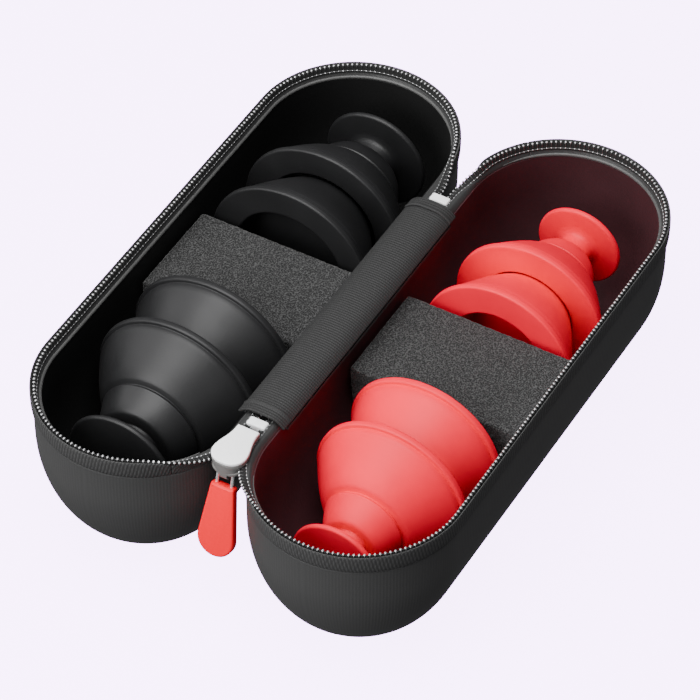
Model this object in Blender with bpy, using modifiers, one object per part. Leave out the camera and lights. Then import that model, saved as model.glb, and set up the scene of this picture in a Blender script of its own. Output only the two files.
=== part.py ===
"""Two pairs of flanged ear plugs in a zip-round hard case, opened flat.

Metres, +Z up. The origin is under the middle of the case, on the surface that it stands on.
The two halves lie side by side along Y with a woven band between them. X points to the half
with the red plugs. The rim plane is at the height SHELL_DEPTH, and most heights below are
measured down from it.
"""

import math

import bmesh
import bpy
from mathutils import Matrix

# Driving sizes
RIM_RADIUS = 0.0120  # radius of the round ends, at the zip teeth
HALF_STRAIGHT = 1.945 * RIM_RADIUS  # half the length of the straight sides
HALF_CENTRE_X = 1.1415 * RIM_RADIUS  # middle of the case to the middle of each half
SHELL_DEPTH = 1.68 * RIM_RADIUS
SHELL_TOP = -0.215 * RIM_RADIUS
SHELL_OUTER = 1.023 * RIM_RADIUS
SHELL_WALL = 0.035 * RIM_RADIUS
BELLY_TOP = -0.54 * RIM_RADIUS  # where the straight wall starts to round under
FLAT_HALF_WIDTH = 0.25 * RIM_RADIUS  # half width of the strip that the case stands on
LINING_CLEARANCE = 0.013 * RIM_RADIUS
LINING_WALL = 0.030 * RIM_RADIUS
LINING_TOP = -0.165 * RIM_RADIUS

# Fold of the hinge
FOLD_X = 0.25 * RIM_RADIUS
FOLD_Z = -0.15 * RIM_RADIUS

# Zip
TAPE_OUTER = 1.045 * RIM_RADIUS
TAPE_INNER = 0.985 * RIM_RADIUS
TAPE_TOP = -0.030 * RIM_RADIUS
TAPE_BOTTOM = -0.195 * RIM_RADIUS
TAPE_END_X = 0.33 * RIM_RADIUS  # the tape stops this far from the hinge's middle
BEAD_RADIUS = 0.026 * RIM_RADIUS
BEAD_Z = 0.006 * RIM_RADIUS
PIPING_RADIUS = 0.018 * RIM_RADIUS
PIPING_PATH = 0.955 * RIM_RADIUS
PIPING_Z = -0.130 * RIM_RADIUS

# Hinge band and its clips
BAND_HALF_WIDTH = 0.245 * RIM_RADIUS
BAND_CROWN_Z = -0.030 * RIM_RADIUS
BAND_EDGE_Z = -0.115 * RIM_RADIUS
BAND_THICKNESS = 0.030 * RIM_RADIUS
BAND_FRONT_Y = -1.665 * RIM_RADIUS
BAND_REAR_Y = 1.400 * RIM_RADIUS
HEM_LENGTH = 0.070 * RIM_RADIUS
HEM_GAP = 0.015 * RIM_RADIUS
STOP_SIZE = (0.190 * RIM_RADIUS, 0.100 * RIM_RADIUS, 0.085 * RIM_RADIUS)
STOP_Z = -0.125 * RIM_RADIUS
FRONT_STOP_Y = -1.815 * RIM_RADIUS
REAR_STOP_Y = 1.610 * RIM_RADIUS

# Slider and pull
SLIDER_REAR_Y = -1.965 * RIM_RADIUS
SLIDER_LENGTH = 0.485 * RIM_RADIUS
SLIDER_NARROW = 0.113 * RIM_RADIUS
SLIDER_WIDE = 0.172 * RIM_RADIUS
SLIDER_WAIST = 0.16  # share of the length that keeps the narrow width
SLIDER_WIDEST = 0.62  # share of the length where the slider is widest
NOSE_ROUNDING = 0.75
NOSE_STEPS = 7
NOSE_FLAT = 0.35  # half width of the flat tip, as a share of the widest half width
POST_HALF_WIDTH = 0.050 * RIM_RADIUS
POST_SPAN = (-0.460 * RIM_RADIUS, -0.240 * RIM_RADIUS)  # from the rear edge
SLIDER_BOTTOM = -0.190 * RIM_RADIUS
SLIDER_SLOT_BOTTOM = -0.155 * RIM_RADIUS
SLIDER_SLOT_TOP = -0.105 * RIM_RADIUS
SLIDER_TOP = -0.070 * RIM_RADIUS
CAP_GAP = 0.012 * RIM_RADIUS
CAP_TOP = -0.020 * RIM_RADIUS
PULL_AXIS_Y = -2.380 * RIM_RADIUS
PULL_AXIS_Z = -0.225 * RIM_RADIUS
LUG_HALF_WIDTH = 0.040 * RIM_RADIUS
LUG_RADIUS = 0.060 * RIM_RADIUS
LUG_HOLE = 0.032 * RIM_RADIUS
LUG_NECK_REACH = 0.045 * RIM_RADIUS
LUG_NECK_START = 0.036 * RIM_RADIUS  # above the hole, so that the wire can turn
WIRE_RADIUS = 0.018 * RIM_RADIUS
WIRE_X = 0.077 * RIM_RADIUS
TAB_LEAN = math.radians(15.0)
TAB_START = 0.130 * RIM_RADIUS
TAB_LENGTH = 0.780 * RIM_RADIUS
TAB_TOP_HALF = 0.122 * RIM_RADIUS
TAB_ROUND = 0.190 * RIM_RADIUS
TAB_THICKNESS = 0.100 * RIM_RADIUS
TAB_BEVEL = 0.025 * RIM_RADIUS
SOCKET_DEPTH = 0.070 * RIM_RADIUS
SOCKET_RADIUS = 0.032 * RIM_RADIUS

# Foam blocks
FOAM_TOP = -0.38 * RIM_RADIUS
FOAM_REAR_Y = 0.585 * RIM_RADIUS
FOAM_FRONT_Y = -0.545 * RIM_RADIUS
FOAM_CLEARANCE = 0.030 * RIM_RADIUS

# Plugs, measured from the outer face of the end disc
PLUG_DISC_Y = 2.41 * RIM_RADIUS
RED_PLUG = {
    "axis_z": -0.800 * RIM_RADIUS,
    "disc": 0.440 * RIM_RADIUS,
    "neck": 0.160 * RIM_RADIUS,
    "shoulder": 0.250 * RIM_RADIUS,
    "dome": 0.400 * RIM_RADIUS,
    "rim": 0.785 * RIM_RADIUS,
    "hollow": 0.475 * RIM_RADIUS,
}
BLACK_PLUG = {
    "axis_z": -0.700 * RIM_RADIUS,
    "disc": 0.550 * RIM_RADIUS,
    "neck": 0.240 * RIM_RADIUS,
    "shoulder": 0.370 * RIM_RADIUS,
    "dome": 0.515 * RIM_RADIUS,
    "rim": 0.875 * RIM_RADIUS,
    "hollow": 0.590 * RIM_RADIUS,
}
DISC_THICKNESS = 0.060 * RIM_RADIUS
NECK_END = 0.280 * RIM_RADIUS
DOME_END = 0.560 * RIM_RADIUS
MIDDLE_RIM = 1.100 * RIM_RADIUS
LAST_RIM = 1.735 * RIM_RADIUS
LIP = 0.060 * RIM_RADIUS
LIP_STEP = 0.035 * RIM_RADIUS
HOLLOW_DEPTH = 0.220 * RIM_RADIUS

# Facets
END_STEPS = 14
BELLY_STEPS = 6
PLUG_STEPS = 22
BAND_STEPS = 8

COLOURS = {
    "shell_fabric": ((0.080, 0.080, 0.082), 0.75, 0.0),
    "black_lining": ((0.012, 0.012, 0.013), 0.80, 0.0),
    "wine_lining": ((0.085, 0.012, 0.014), 0.80, 0.0),
    "piping": ((0.110, 0.110, 0.112), 0.55, 0.0),
    "zip_tape": ((0.050, 0.050, 0.052), 0.80, 0.0),
    "zip_teeth": ((0.600, 0.600, 0.610), 0.35, 0.9),
    "band_fabric": ((0.065, 0.066, 0.068), 0.80, 0.0),
    "white_metal": ((0.800, 0.800, 0.810), 0.35, 0.3),
    "grey_metal": ((0.220, 0.210, 0.200), 0.40, 0.8),
    "red_rubber": ((0.850, 0.080, 0.070), 0.45, 0.0),
    "foam": ((0.045, 0.045, 0.045), 0.95, 0.0),
    "red_silicone": ((0.800, 0.045, 0.045), 0.42, 0.0),
    "black_silicone": ((0.045, 0.045, 0.047), 0.42, 0.0),
}


def clear_scene():
    for obj in list(bpy.data.objects):
        bpy.data.objects.remove(obj, do_unlink=True)


def new_collection(name):
    collection = bpy.data.collections.new(name)
    bpy.context.scene.collection.children.link(collection)
    return collection


def make_material(name):
    colour, roughness, metallic = COLOURS[name]
    material = bpy.data.materials.new(name)
    material.use_nodes = True
    shader = material.node_tree.nodes["Principled BSDF"]
    shader.inputs["Base Color"].default_value = (*colour, 1.0)
    shader.inputs["Roughness"].default_value = roughness
    shader.inputs["Metallic"].default_value = metallic
    material.diffuse_color = (*colour, 1.0)
    return material


def finish_mesh(name, bm, material):
    """Turns a bmesh into an object in the parts collection."""
    mesh = bpy.data.meshes.new(name)
    bm.to_mesh(mesh)
    bm.free()
    return adopt(name, mesh, material)


def adopt(name, data, material):
    obj = bpy.data.objects.new(name, data)
    data.materials.append(make_material(material))
    PARTS.objects.link(obj)
    return obj


def place(obj, carrier, location):
    """Puts an object at a place in the world and parents it to the empty that carries it."""
    obj.location = location
    if carrier is None:
        return
    obj.parent = carrier
    for axis in range(3):
        obj.location[axis] -= carrier.location[axis]


def make_carrier(name, location):
    empty = bpy.data.objects.new(name, None)
    empty.empty_display_size = RIM_RADIUS
    empty.location = location
    PARTS.objects.link(empty)
    return empty


def hide_cutter(obj):
    PARTS.objects.unlink(obj)
    CUTTERS.objects.link(obj)
    obj.hide_render = True
    obj.display_type = "WIRE"


def cut(obj, cutter, operation="DIFFERENCE"):
    boolean = obj.modifiers.new(operation.title(), "BOOLEAN")
    boolean.operation = operation
    boolean.object = cutter


def mesh_copy(obj):
    """A closed mesh object in place of a curve object."""
    bpy.context.view_layer.update()
    evaluated = obj.evaluated_get(bpy.context.evaluated_depsgraph_get())
    mesh = bpy.data.meshes.new_from_object(evaluated)
    bm = bmesh.new()
    bm.from_mesh(mesh)
    bmesh.ops.remove_doubles(bm, verts=bm.verts, dist=1e-6)
    bmesh.ops.recalc_face_normals(bm, faces=bm.faces)
    bm.to_mesh(mesh)
    bm.free()
    name = obj.name
    matrix = obj.matrix_world.copy()
    bpy.data.objects.remove(obj, do_unlink=True)
    copy = bpy.data.objects.new(name, mesh)
    copy.matrix_world = matrix
    PARTS.objects.link(copy)
    return copy


def box(name, low, high, material, bevel=0.0):
    """A box between two corners, with its edges rounded."""
    bm = bmesh.new()
    bmesh.ops.create_cube(bm, size=1.0)
    for vert in bm.verts:
        for axis in range(3):
            vert.co[axis] = (low[axis] + high[axis]) / 2 + vert.co[axis] * (high[axis] - low[axis])
    if bevel:
        bmesh.ops.bevel(
            bm, geom=bm.edges[:], offset=bevel, segments=2, profile=0.5, affect="EDGES", material=-1
        )
    return finish_mesh(name, bm, material)


def flat_outline(name, points, thickness, material):
    """A flat plate in the XY plane from a closed outline, centred on Z."""
    curve = bpy.data.curves.new(name, "CURVE")
    curve.dimensions = "2D"
    curve.fill_mode = "BOTH"
    curve.extrude = thickness / 2
    spline = curve.splines.new("POLY")
    spline.points.add(len(points) - 1)
    for point, (x, y) in zip(spline.points, points):
        point.co = (x, y, 0.0, 1.0)
    spline.use_cyclic_u = True
    return adopt(name, curve, material)


def tube(name, points, radius, material, resolution):
    curve = bpy.data.curves.new(name, "CURVE")
    curve.dimensions = "3D"
    curve.bevel_depth = radius
    curve.bevel_resolution = resolution
    curve.use_fill_caps = True
    spline = curve.splines.new("POLY")
    spline.points.add(len(points) - 1)
    for point, place_of in zip(spline.points, points):
        point.co = (*place_of, 1.0)
    return adopt(name, curve, material)


def spin_half_stadium(bm):
    """Spins the profile at +X about the front end's axis, then carries both ends to the middle."""
    start = [*bm.verts, *bm.edges]
    bmesh.ops.spin(
        bm,
        geom=start,
        cent=(0.0, -HALF_STRAIGHT, 0.0),
        axis=(0.0, 0.0, 1.0),
        angle=-math.pi,
        steps=END_STEPS,
    )
    bmesh.ops.remove_doubles(bm, verts=bm.verts, dist=1e-7)
    open_edges = [
        edge
        for edge in bm.edges
        if all(abs(vert.co.y + HALF_STRAIGHT) < 1e-7 for vert in edge.verts)
        and len(edge.link_faces) == 1
    ]
    grown = bmesh.ops.extrude_edge_only(bm, edges=open_edges)["geom"]
    for vert in grown:
        if isinstance(vert, bmesh.types.BMVert):
            vert.co.y = 0.0


def mirror_length(obj):
    mirror = obj.modifiers.new("Mirror", "MIRROR")
    mirror.use_axis = (False, True, False)
    mirror.use_clip = True
    mirror.merge_threshold = 0.00001


def profile_mesh(profile, closed):
    """A row of vertices at +X of the front end's axis, joined by edges."""
    bm = bmesh.new()
    verts = [bm.verts.new((radius, -HALF_STRAIGHT, height)) for radius, height in profile]
    for first, second in zip(verts, verts[1:]):
        bm.edges.new((first, second))
    if closed:
        bm.edges.new((verts[-1], verts[0]))
    return bm


def belly_profile(inset, top):
    """(radius, height) pairs down a wall that is set in from the outside of the shell."""
    wall = SHELL_OUTER - inset
    drop = SHELL_DEPTH + BELLY_TOP - inset
    points = [(wall, top), (wall, BELLY_TOP)]
    for step in range(1, BELLY_STEPS + 1):
        turn = math.pi / 2 * step / BELLY_STEPS
        radius = FLAT_HALF_WIDTH + (wall - FLAT_HALF_WIDTH) * math.cos(turn)
        points.append((radius, BELLY_TOP - drop * math.sin(turn)))
    return points


def make_cup(name, inset, top, wall, material):
    """A capsule-shaped tray: an open surface, made solid inwards."""
    profile = belly_profile(inset, top)
    bm = profile_mesh([*profile, (0.0, profile[-1][1])], closed=False)
    spin_half_stadium(bm)
    bmesh.ops.recalc_face_normals(bm, faces=bm.faces)
    obj = finish_mesh(name, bm, material)
    mirror_length(obj)
    solid = obj.modifiers.new("Wall", "SOLIDIFY")
    solid.thickness = wall
    solid.offset = -1.0
    solid.use_even_offset = True
    return obj


def make_ring(name, section, material):
    """A closed section carried round the capsule outline."""
    bm = profile_mesh(section, closed=True)
    spin_half_stadium(bm)
    bmesh.ops.recalc_face_normals(bm, faces=bm.faces)
    obj = finish_mesh(name, bm, material)
    mirror_length(obj)
    return obj


def round_section(radius, centre_radius, height, sides):
    points = []
    for side in range(sides):
        turn = -2 * math.pi * side / sides
        points.append((centre_radius + radius * math.cos(turn), height + radius * math.sin(turn)))
    return points


def make_shell(name, side, carrier):
    shell = make_cup(name, 0.0, SHELL_TOP, SHELL_WALL, "shell_fabric")
    place(shell, carrier, (side * HALF_CENTRE_X, 0.0, SHELL_DEPTH))


def make_lining(name, side, carrier, material):
    lining = make_cup(name, SHELL_WALL + LINING_CLEARANCE, LINING_TOP, LINING_WALL, material)
    cut(lining, hinge_notch(name, side, SHELL_TOP))
    place(lining, carrier, (side * HALF_CENTRE_X, 0.0, SHELL_DEPTH))


def hinge_notch(owner, side, floor):
    """Clears the hinge side of a rim piece, between the ends of the zip."""
    low = (-TAPE_END_X, -3.0 * RIM_RADIUS, floor)
    high = (TAPE_END_X, 3.0 * RIM_RADIUS, RIM_RADIUS)
    notch = box(owner + "_notch", low, high, "grey_metal")
    hide_cutter(notch)
    notch.location = (0.0, 0.0, SHELL_DEPTH)
    return notch


def make_piping(name, side, carrier):
    section = round_section(PIPING_RADIUS, PIPING_PATH, PIPING_Z, 6)
    piping = make_ring(name, section, "piping")
    cut(piping, hinge_notch(name, side, SHELL_TOP))
    place(piping, carrier, (side * HALF_CENTRE_X, 0.0, SHELL_DEPTH))


def make_tape(name, side, carrier):
    chamfer = 0.02 * RIM_RADIUS
    section = [
        (TAPE_OUTER, TAPE_BOTTOM),
        (TAPE_INNER, TAPE_BOTTOM),
        (TAPE_INNER, TAPE_TOP - chamfer),
        (TAPE_INNER + chamfer, TAPE_TOP),
        (TAPE_OUTER - chamfer, TAPE_TOP),
        (TAPE_OUTER, TAPE_TOP - chamfer),
    ]
    tape = make_ring(name, section, "zip_tape")
    cut(tape, hinge_notch(name, side, SHELL_TOP - RIM_RADIUS))
    place(tape, carrier, (side * HALF_CENTRE_X, 0.0, SHELL_DEPTH))


def rim_points(side):
    """The line of the teeth round one rim, from the rear end of the hinge to the front end."""
    cut_in = HALF_CENTRE_X - TAPE_END_X
    sweep = math.pi - math.acos(cut_in / RIM_RADIUS)
    points = []
    for end in (1, -1):
        for step in range(END_STEPS + 1):
            turn = sweep * (1 - step / END_STEPS) if end == 1 else -sweep * step / END_STEPS
            x = RIM_RADIUS * math.cos(turn)
            y = end * HALF_STRAIGHT + RIM_RADIUS * math.sin(turn)
            points.append((side * x, y, BEAD_Z))
    return points


def make_chain(name, side, carrier):
    chain = tube(name, rim_points(side), BEAD_RADIUS, "zip_teeth", 1)
    place(chain, carrier, (side * HALF_CENTRE_X, 0.0, SHELL_DEPTH))


def make_hinge_flap(name, side, carrier):
    """The strip that joins the top of one shell to the fold line under the band."""
    inner = HALF_CENTRE_X - SHELL_OUTER + 0.020 * RIM_RADIUS
    low = (inner, BAND_FRONT_Y, FOLD_Z - 0.050 * RIM_RADIUS)
    high = (FOLD_X - 0.015 * RIM_RADIUS, BAND_REAR_Y, FOLD_Z - 0.015 * RIM_RADIUS)
    if side < 0:
        low, high = (-high[0], low[1], low[2]), (-low[0], high[1], high[2])
    flap = box(name, low, high, "band_fabric")
    for vert in flap.data.vertices:
        vert.co.x -= side * FOLD_X
        vert.co.z -= FOLD_Z
    place(flap, carrier, (side * FOLD_X, 0.0, SHELL_DEPTH + FOLD_Z))


def band_height(x, lift):
    across = abs(x) / BAND_HALF_WIDTH
    return BAND_CROWN_Z + lift - (BAND_CROWN_Z - BAND_EDGE_Z) * across**3


def make_band_strip(name, front, rear, lift, thickness, carrier):
    """A curved strip across the hinge, highest along its middle."""
    bm = bmesh.new()
    verts = []
    for step in range(BAND_STEPS + 1):
        x = BAND_HALF_WIDTH * (2 * step / BAND_STEPS - 1)
        verts.append(bm.verts.new((x, front, band_height(x, lift))))
    edges = [bm.edges.new(pair) for pair in zip(verts, verts[1:])]
    grown = bmesh.ops.extrude_edge_only(bm, edges=edges)["geom"]
    for vert in grown:
        if isinstance(vert, bmesh.types.BMVert):
            vert.co.y = rear
    bmesh.ops.recalc_face_normals(bm, faces=bm.faces)
    if bm.faces[:][0].normal.z < 0:
        bmesh.ops.reverse_faces(bm, faces=bm.faces)
    for vert in bm.verts:
        vert.co.x -= FOLD_X
        vert.co.z -= FOLD_Z
    strip = finish_mesh(name, bm, "band_fabric")
    solid = strip.modifiers.new("Thickness", "SOLIDIFY")
    solid.thickness = thickness
    solid.offset = -1.0
    place(strip, carrier, (FOLD_X, 0.0, SHELL_DEPTH + FOLD_Z))


def make_hinge_core(carrier):
    """The stiff strip that fills the band."""
    half = 0.16 * RIM_RADIUS
    low = (-half - FOLD_X, BAND_FRONT_Y, -0.125 * RIM_RADIUS - FOLD_Z)
    high = (half - FOLD_X, BAND_REAR_Y, -0.098 * RIM_RADIUS - FOLD_Z)
    core = box("hinge_core", low, high, "band_fabric")
    place(core, carrier, (FOLD_X, 0.0, SHELL_DEPTH + FOLD_Z))


def make_stop(name, y, carrier):
    width, length, height = STOP_SIZE
    low = (-width / 2 - FOLD_X, y - length / 2, STOP_Z - height / 2 - FOLD_Z)
    high = (width / 2 - FOLD_X, y + length / 2, STOP_Z + height / 2 - FOLD_Z)
    stop = box(name, low, high, "white_metal", bevel=0.015 * RIM_RADIUS)
    place(stop, carrier, (FOLD_X, 0.0, SHELL_DEPTH + FOLD_Z))


def slider_outline(inset):
    """Half outline of the slider, narrow at the hinge and round at the nose, then mirrored."""
    narrow = SLIDER_NARROW - inset
    wide_y = -SLIDER_WIDEST * SLIDER_LENGTH
    nose = SLIDER_WIDE - inset
    right = [(narrow, -inset), (narrow, -SLIDER_WAIST * SLIDER_LENGTH)]
    nose_drop = SLIDER_LENGTH + wide_y - inset
    for step in range(NOSE_STEPS + 1):
        turn = math.pi / 2 * step / NOSE_STEPS
        reach = nose * math.cos(turn) ** NOSE_ROUNDING
        right.append((max(reach, NOSE_FLAT * nose), wide_y - nose_drop * math.sin(turn)))
    left = [(-x, y) for x, y in reversed(right)]
    return [*right, *left]


def make_slider_body(carrier):
    """Two plates on a post, with room for the two rows of teeth between them, and a lug."""
    plate = SLIDER_SLOT_BOTTOM - SLIDER_BOTTOM
    body = mesh_copy(flat_outline("slider_body", slider_outline(0.0), plate, "grey_metal"))
    upper = mesh_copy(flat_outline("slider_upper", slider_outline(0.0), plate, "grey_metal"))
    upper_z = (SLIDER_SLOT_TOP + SLIDER_TOP) / 2 - (SLIDER_BOTTOM + SLIDER_SLOT_BOTTOM) / 2
    for vert in upper.data.vertices:
        vert.co.z += upper_z
    reach = SLIDER_TOP - SLIDER_BOTTOM - plate
    post = box(
        "slider_post",
        (-POST_HALF_WIDTH, POST_SPAN[0], 0.0),
        (POST_HALF_WIDTH, POST_SPAN[1], reach),
        "grey_metal",
    )
    lug_y = PULL_AXIS_Y - SLIDER_REAR_Y
    lug_z = PULL_AXIS_Z - (SLIDER_BOTTOM + SLIDER_SLOT_BOTTOM) / 2
    lug = turned_along_x("slider_lug", LUG_RADIUS, LUG_HALF_WIDTH, lug_y, lug_z)
    neck = box(
        "slider_lug_neck",
        (-LUG_HALF_WIDTH, lug_y - LUG_NECK_REACH, lug_z + LUG_NECK_START),
        (LUG_HALF_WIDTH, lug_y + LUG_NECK_REACH, 0.0),
        "grey_metal",
    )
    hole = turned_along_x("slider_lug_hole", LUG_HOLE, 0.3 * RIM_RADIUS, lug_y, lug_z)
    home = (0.0, SLIDER_REAR_Y, SHELL_DEPTH + (SLIDER_BOTTOM + SLIDER_SLOT_BOTTOM) / 2)
    for piece in (upper, post, neck, lug):
        hide_cutter(piece)
        piece.location = home
        cut(body, piece, "UNION")
    hide_cutter(hole)
    hole.location = home
    cut(body, hole)
    place(body, carrier, home)


def turned_along_x(name, radius, half_length, y, z):
    """A cylinder along X."""
    bm = bmesh.new()
    bmesh.ops.create_cone(
        bm,
        cap_ends=True,
        segments=16,
        radius1=radius,
        radius2=radius,
        depth=2 * half_length,
        matrix=Matrix.Translation((0.0, y, z)) @ Matrix.Rotation(math.pi / 2, 4, "Y"),
    )
    return finish_mesh(name, bm, "grey_metal")


def make_slider_cap(carrier):
    height = CAP_TOP - SLIDER_TOP - CAP_GAP
    cap = mesh_copy(flat_outline("slider_cap", slider_outline(0.0), height, "white_metal"))
    bevel = cap.modifiers.new("Bevel", "BEVEL")
    bevel.width = 0.012 * RIM_RADIUS
    bevel.segments = 2
    bevel.limit_method = "ANGLE"
    bevel.angle_limit = math.radians(50)
    place(cap, carrier, (0.0, SLIDER_REAR_Y, SHELL_DEPTH + CAP_TOP - height / 2))


def make_bail(carrier):
    """The wire through the lug, with its two legs set in the top of the tab."""
    corner = 0.025 * RIM_RADIUS
    leg = TAB_START + SOCKET_DEPTH - 0.015 * RIM_RADIUS
    right = [(WIRE_X - corner, 0.0, 0.0), (WIRE_X, 0.0, -corner), (WIRE_X, 0.0, -leg)]
    left = [(-x, y, z) for x, y, z in reversed(right)]
    bail = tube("pull_bail", [*left, *right], WIRE_RADIUS, "white_metal", 2)
    bail.rotation_euler.x = -TAB_LEAN
    place(bail, carrier, (0.0, PULL_AXIS_Y, SHELL_DEPTH + PULL_AXIS_Z))


def tab_outline():
    """Straight across the top, widening to a round end."""
    centre_y = -(TAB_LENGTH - TAB_ROUND)
    points = [(TAB_TOP_HALF - 0.02 * RIM_RADIUS, 0.0), (TAB_TOP_HALF, -0.02 * RIM_RADIUS)]
    for step in range(17):
        turn = math.pi * step / 16
        points.append((TAB_ROUND * math.cos(turn), centre_y - TAB_ROUND * math.sin(turn)))
    points.append((-TAB_TOP_HALF, -0.02 * RIM_RADIUS))
    points.append((-TAB_TOP_HALF + 0.02 * RIM_RADIUS, 0.0))
    return points[::-1]


def make_tab(carrier):
    tab = mesh_copy(flat_outline("pull_tab", tab_outline(), TAB_THICKNESS, "red_rubber"))
    for vert in tab.data.vertices:
        vert.co = (vert.co.x, -vert.co.z, vert.co.y - TAB_START)
    bevel = tab.modifiers.new("Bevel", "BEVEL")
    bevel.width = TAB_BEVEL
    bevel.segments = 2
    bevel.limit_method = "ANGLE"
    bevel.angle_limit = math.radians(60)
    home = (0.0, PULL_AXIS_Y, SHELL_DEPTH + PULL_AXIS_Z)
    for side in (1, -1):
        socket = box(
            f"tab_socket_{side}",
            (side * WIRE_X - SOCKET_RADIUS, -SOCKET_RADIUS, -TAB_START - SOCKET_DEPTH),
            (side * WIRE_X + SOCKET_RADIUS, SOCKET_RADIUS, -TAB_START + SOCKET_DEPTH),
            "grey_metal",
        )
        hide_cutter(socket)
        socket.rotation_euler.x = -TAB_LEAN
        socket.location = home
        cut(tab, socket)
    tab.rotation_euler.x = -TAB_LEAN
    place(tab, carrier, home)


def make_foam(name, side, carrier):
    """A block cut to the hollow of the lining."""
    inset = SHELL_WALL + LINING_CLEARANCE + LINING_WALL + FOAM_CLEARANCE
    right = [(SHELL_OUTER - inset, FOAM_TOP), *belly_profile(inset, 0.0)[1:]]
    left = [(-x, z) for x, z in reversed(right)]
    length = FOAM_REAR_Y - FOAM_FRONT_Y
    foam = mesh_copy(flat_outline(name, [*left, *right], length, "foam"))
    for vert in foam.data.vertices:
        vert.co = (vert.co.x, -vert.co.z, vert.co.y)
    bevel = foam.modifiers.new("Bevel", "BEVEL")
    bevel.width = 0.02 * RIM_RADIUS
    bevel.limit_method = "ANGLE"
    bevel.angle_limit = math.radians(60)
    place(foam, carrier, (side * HALF_CENTRE_X, (FOAM_REAR_Y + FOAM_FRONT_Y) / 2, SHELL_DEPTH))


def bowl(start_radius, start, end_radius, end, steps, fullness):
    """A cone that bulges a little, from its wide end to its narrow end. Fullness 1 is straight."""
    points = []
    for step in range(steps + 1):
        along = (1 - step / steps) ** 1.3
        radius = start_radius + (end_radius - start_radius) * along**fullness
        points.append((radius, start + (end - start) * along))
    return points


def flange(size, plane, start, start_radius):
    """One bowl from its rounded lip back to where it starts."""
    rim = size["rim"]
    wall = rim - LIP_STEP
    lip = [
        (rim - 0.015 * RIM_RADIUS, plane),
        (rim, plane - 0.2 * LIP),
        (rim, plane - 0.8 * LIP),
        (wall, plane - LIP),
    ]
    return [*lip, *bowl(start_radius, start, wall, plane - 1.5 * LIP, 5, 0.78)]


def plug_profile(size):
    """(radius, length along the axis) pairs from the inner end to the outer face of the disc."""
    hollow = size["hollow"]
    stem = 0.78 * hollow
    dome = size["dome"]
    points = [
        (0.0, LAST_RIM - HOLLOW_DEPTH),
        (0.85 * hollow, LAST_RIM - HOLLOW_DEPTH),
        (hollow, LAST_RIM),
        *flange(size, LAST_RIM, MIDDLE_RIM - 0.5 * HOLLOW_DEPTH, stem),
        (stem, MIDDLE_RIM - HOLLOW_DEPTH),
        (hollow, MIDDLE_RIM - HOLLOW_DEPTH),
        (hollow, MIDDLE_RIM),
        *flange(size, MIDDLE_RIM, DOME_END + 0.010 * RIM_RADIUS, dome + 0.02 * RIM_RADIUS),
        (dome - 0.015 * RIM_RADIUS, DOME_END),
        *bowl(size["shoulder"], NECK_END, dome, DOME_END - 0.04 * RIM_RADIUS, 4, 0.62),
        (size["neck"] + 0.01 * RIM_RADIUS, NECK_END + 0.015 * RIM_RADIUS),
        (size["neck"], NECK_END - 0.05 * RIM_RADIUS),
        (size["neck"], DISC_THICKNESS + 0.05 * RIM_RADIUS),
        (size["neck"] + 0.03 * RIM_RADIUS, DISC_THICKNESS + 0.015 * RIM_RADIUS),
        (size["disc"] - 0.02 * RIM_RADIUS, DISC_THICKNESS),
        (size["disc"], 0.65 * DISC_THICKNESS),
        (size["disc"], 0.3 * DISC_THICKNESS),
        (size["disc"] - 0.02 * RIM_RADIUS, 0.0),
        (0.0, 0.0),
    ]
    return points


def make_plug(name, side, end, size, carrier, material):
    """Lies along Y with its disc at the end of the case and its widest rim by the foam."""
    bm = bmesh.new()
    verts = [bm.verts.new((radius, 0.0, along)) for radius, along in plug_profile(size)]
    for first, second in zip(verts, verts[1:]):
        bm.edges.new((first, second))
    plug = finish_mesh(name, bm, material)
    screw = plug.modifiers.new("Turn", "SCREW")
    screw.axis = "Z"
    screw.angle = 2 * math.pi
    screw.steps = PLUG_STEPS
    screw.render_steps = PLUG_STEPS
    screw.use_merge_vertices = True
    screw.merge_threshold = 0.000001
    screw.use_smooth_shade = True
    plug.rotation_euler.x = end * math.pi / 2
    centre = (side * HALF_CENTRE_X, end * PLUG_DISC_Y, SHELL_DEPTH + size["axis_z"])
    place(plug, carrier, centre)


def make_half(word, side, carrier, lining, plug_word, size, silicone):
    make_shell(f"{word}_shell", side, carrier)
    make_lining(f"{word}_lining", side, carrier, lining)
    make_piping(f"{word}_piping", side, carrier)
    make_tape(f"{word}_zip_tape", side, carrier)
    make_chain(f"{word}_zip_chain", side, carrier)
    make_hinge_flap(f"{word}_hinge_flap", side, carrier)
    make_foam(f"{word}_foam_block", side, carrier)
    make_plug(f"{plug_word}_plug_front", side, -1, size, carrier, silicone)
    make_plug(f"{plug_word}_plug_rear", side, 1, size, carrier, silicone)


def make_hinge(carrier):
    make_band_strip("hinge_band", BAND_FRONT_Y, BAND_REAR_Y, 0.0, BAND_THICKNESS, carrier)
    front = BAND_FRONT_Y - HEM_GAP
    rear = BAND_REAR_Y + HEM_GAP
    lift = 0.008 * RIM_RADIUS
    thick = 1.5 * BAND_THICKNESS
    make_band_strip("hinge_band_front_hem", front - HEM_LENGTH, front, lift, thick, carrier)
    make_band_strip("hinge_band_rear_hem", rear, rear + HEM_LENGTH, lift, thick, carrier)
    make_hinge_core(carrier)
    make_stop("front_stop", FRONT_STOP_Y, carrier)
    make_stop("rear_stop", REAR_STOP_Y, carrier)


def make_pull(carrier):
    make_slider_body(carrier)
    make_slider_cap(carrier)
    make_bail(carrier)
    make_tab(carrier)


def main():
    fold_z = SHELL_DEPTH + FOLD_Z
    left_fold = make_carrier("left_fold_axis", (-FOLD_X, 0.0, fold_z))
    right_fold = make_carrier("right_fold_axis", (FOLD_X, 0.0, fold_z))
    make_half("left", -1, left_fold, "black_lining", "black", BLACK_PLUG, "black_silicone")
    make_half("right", 1, None, "wine_lining", "red", RED_PLUG, "red_silicone")
    make_hinge(right_fold)
    make_pull(right_fold)


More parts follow.
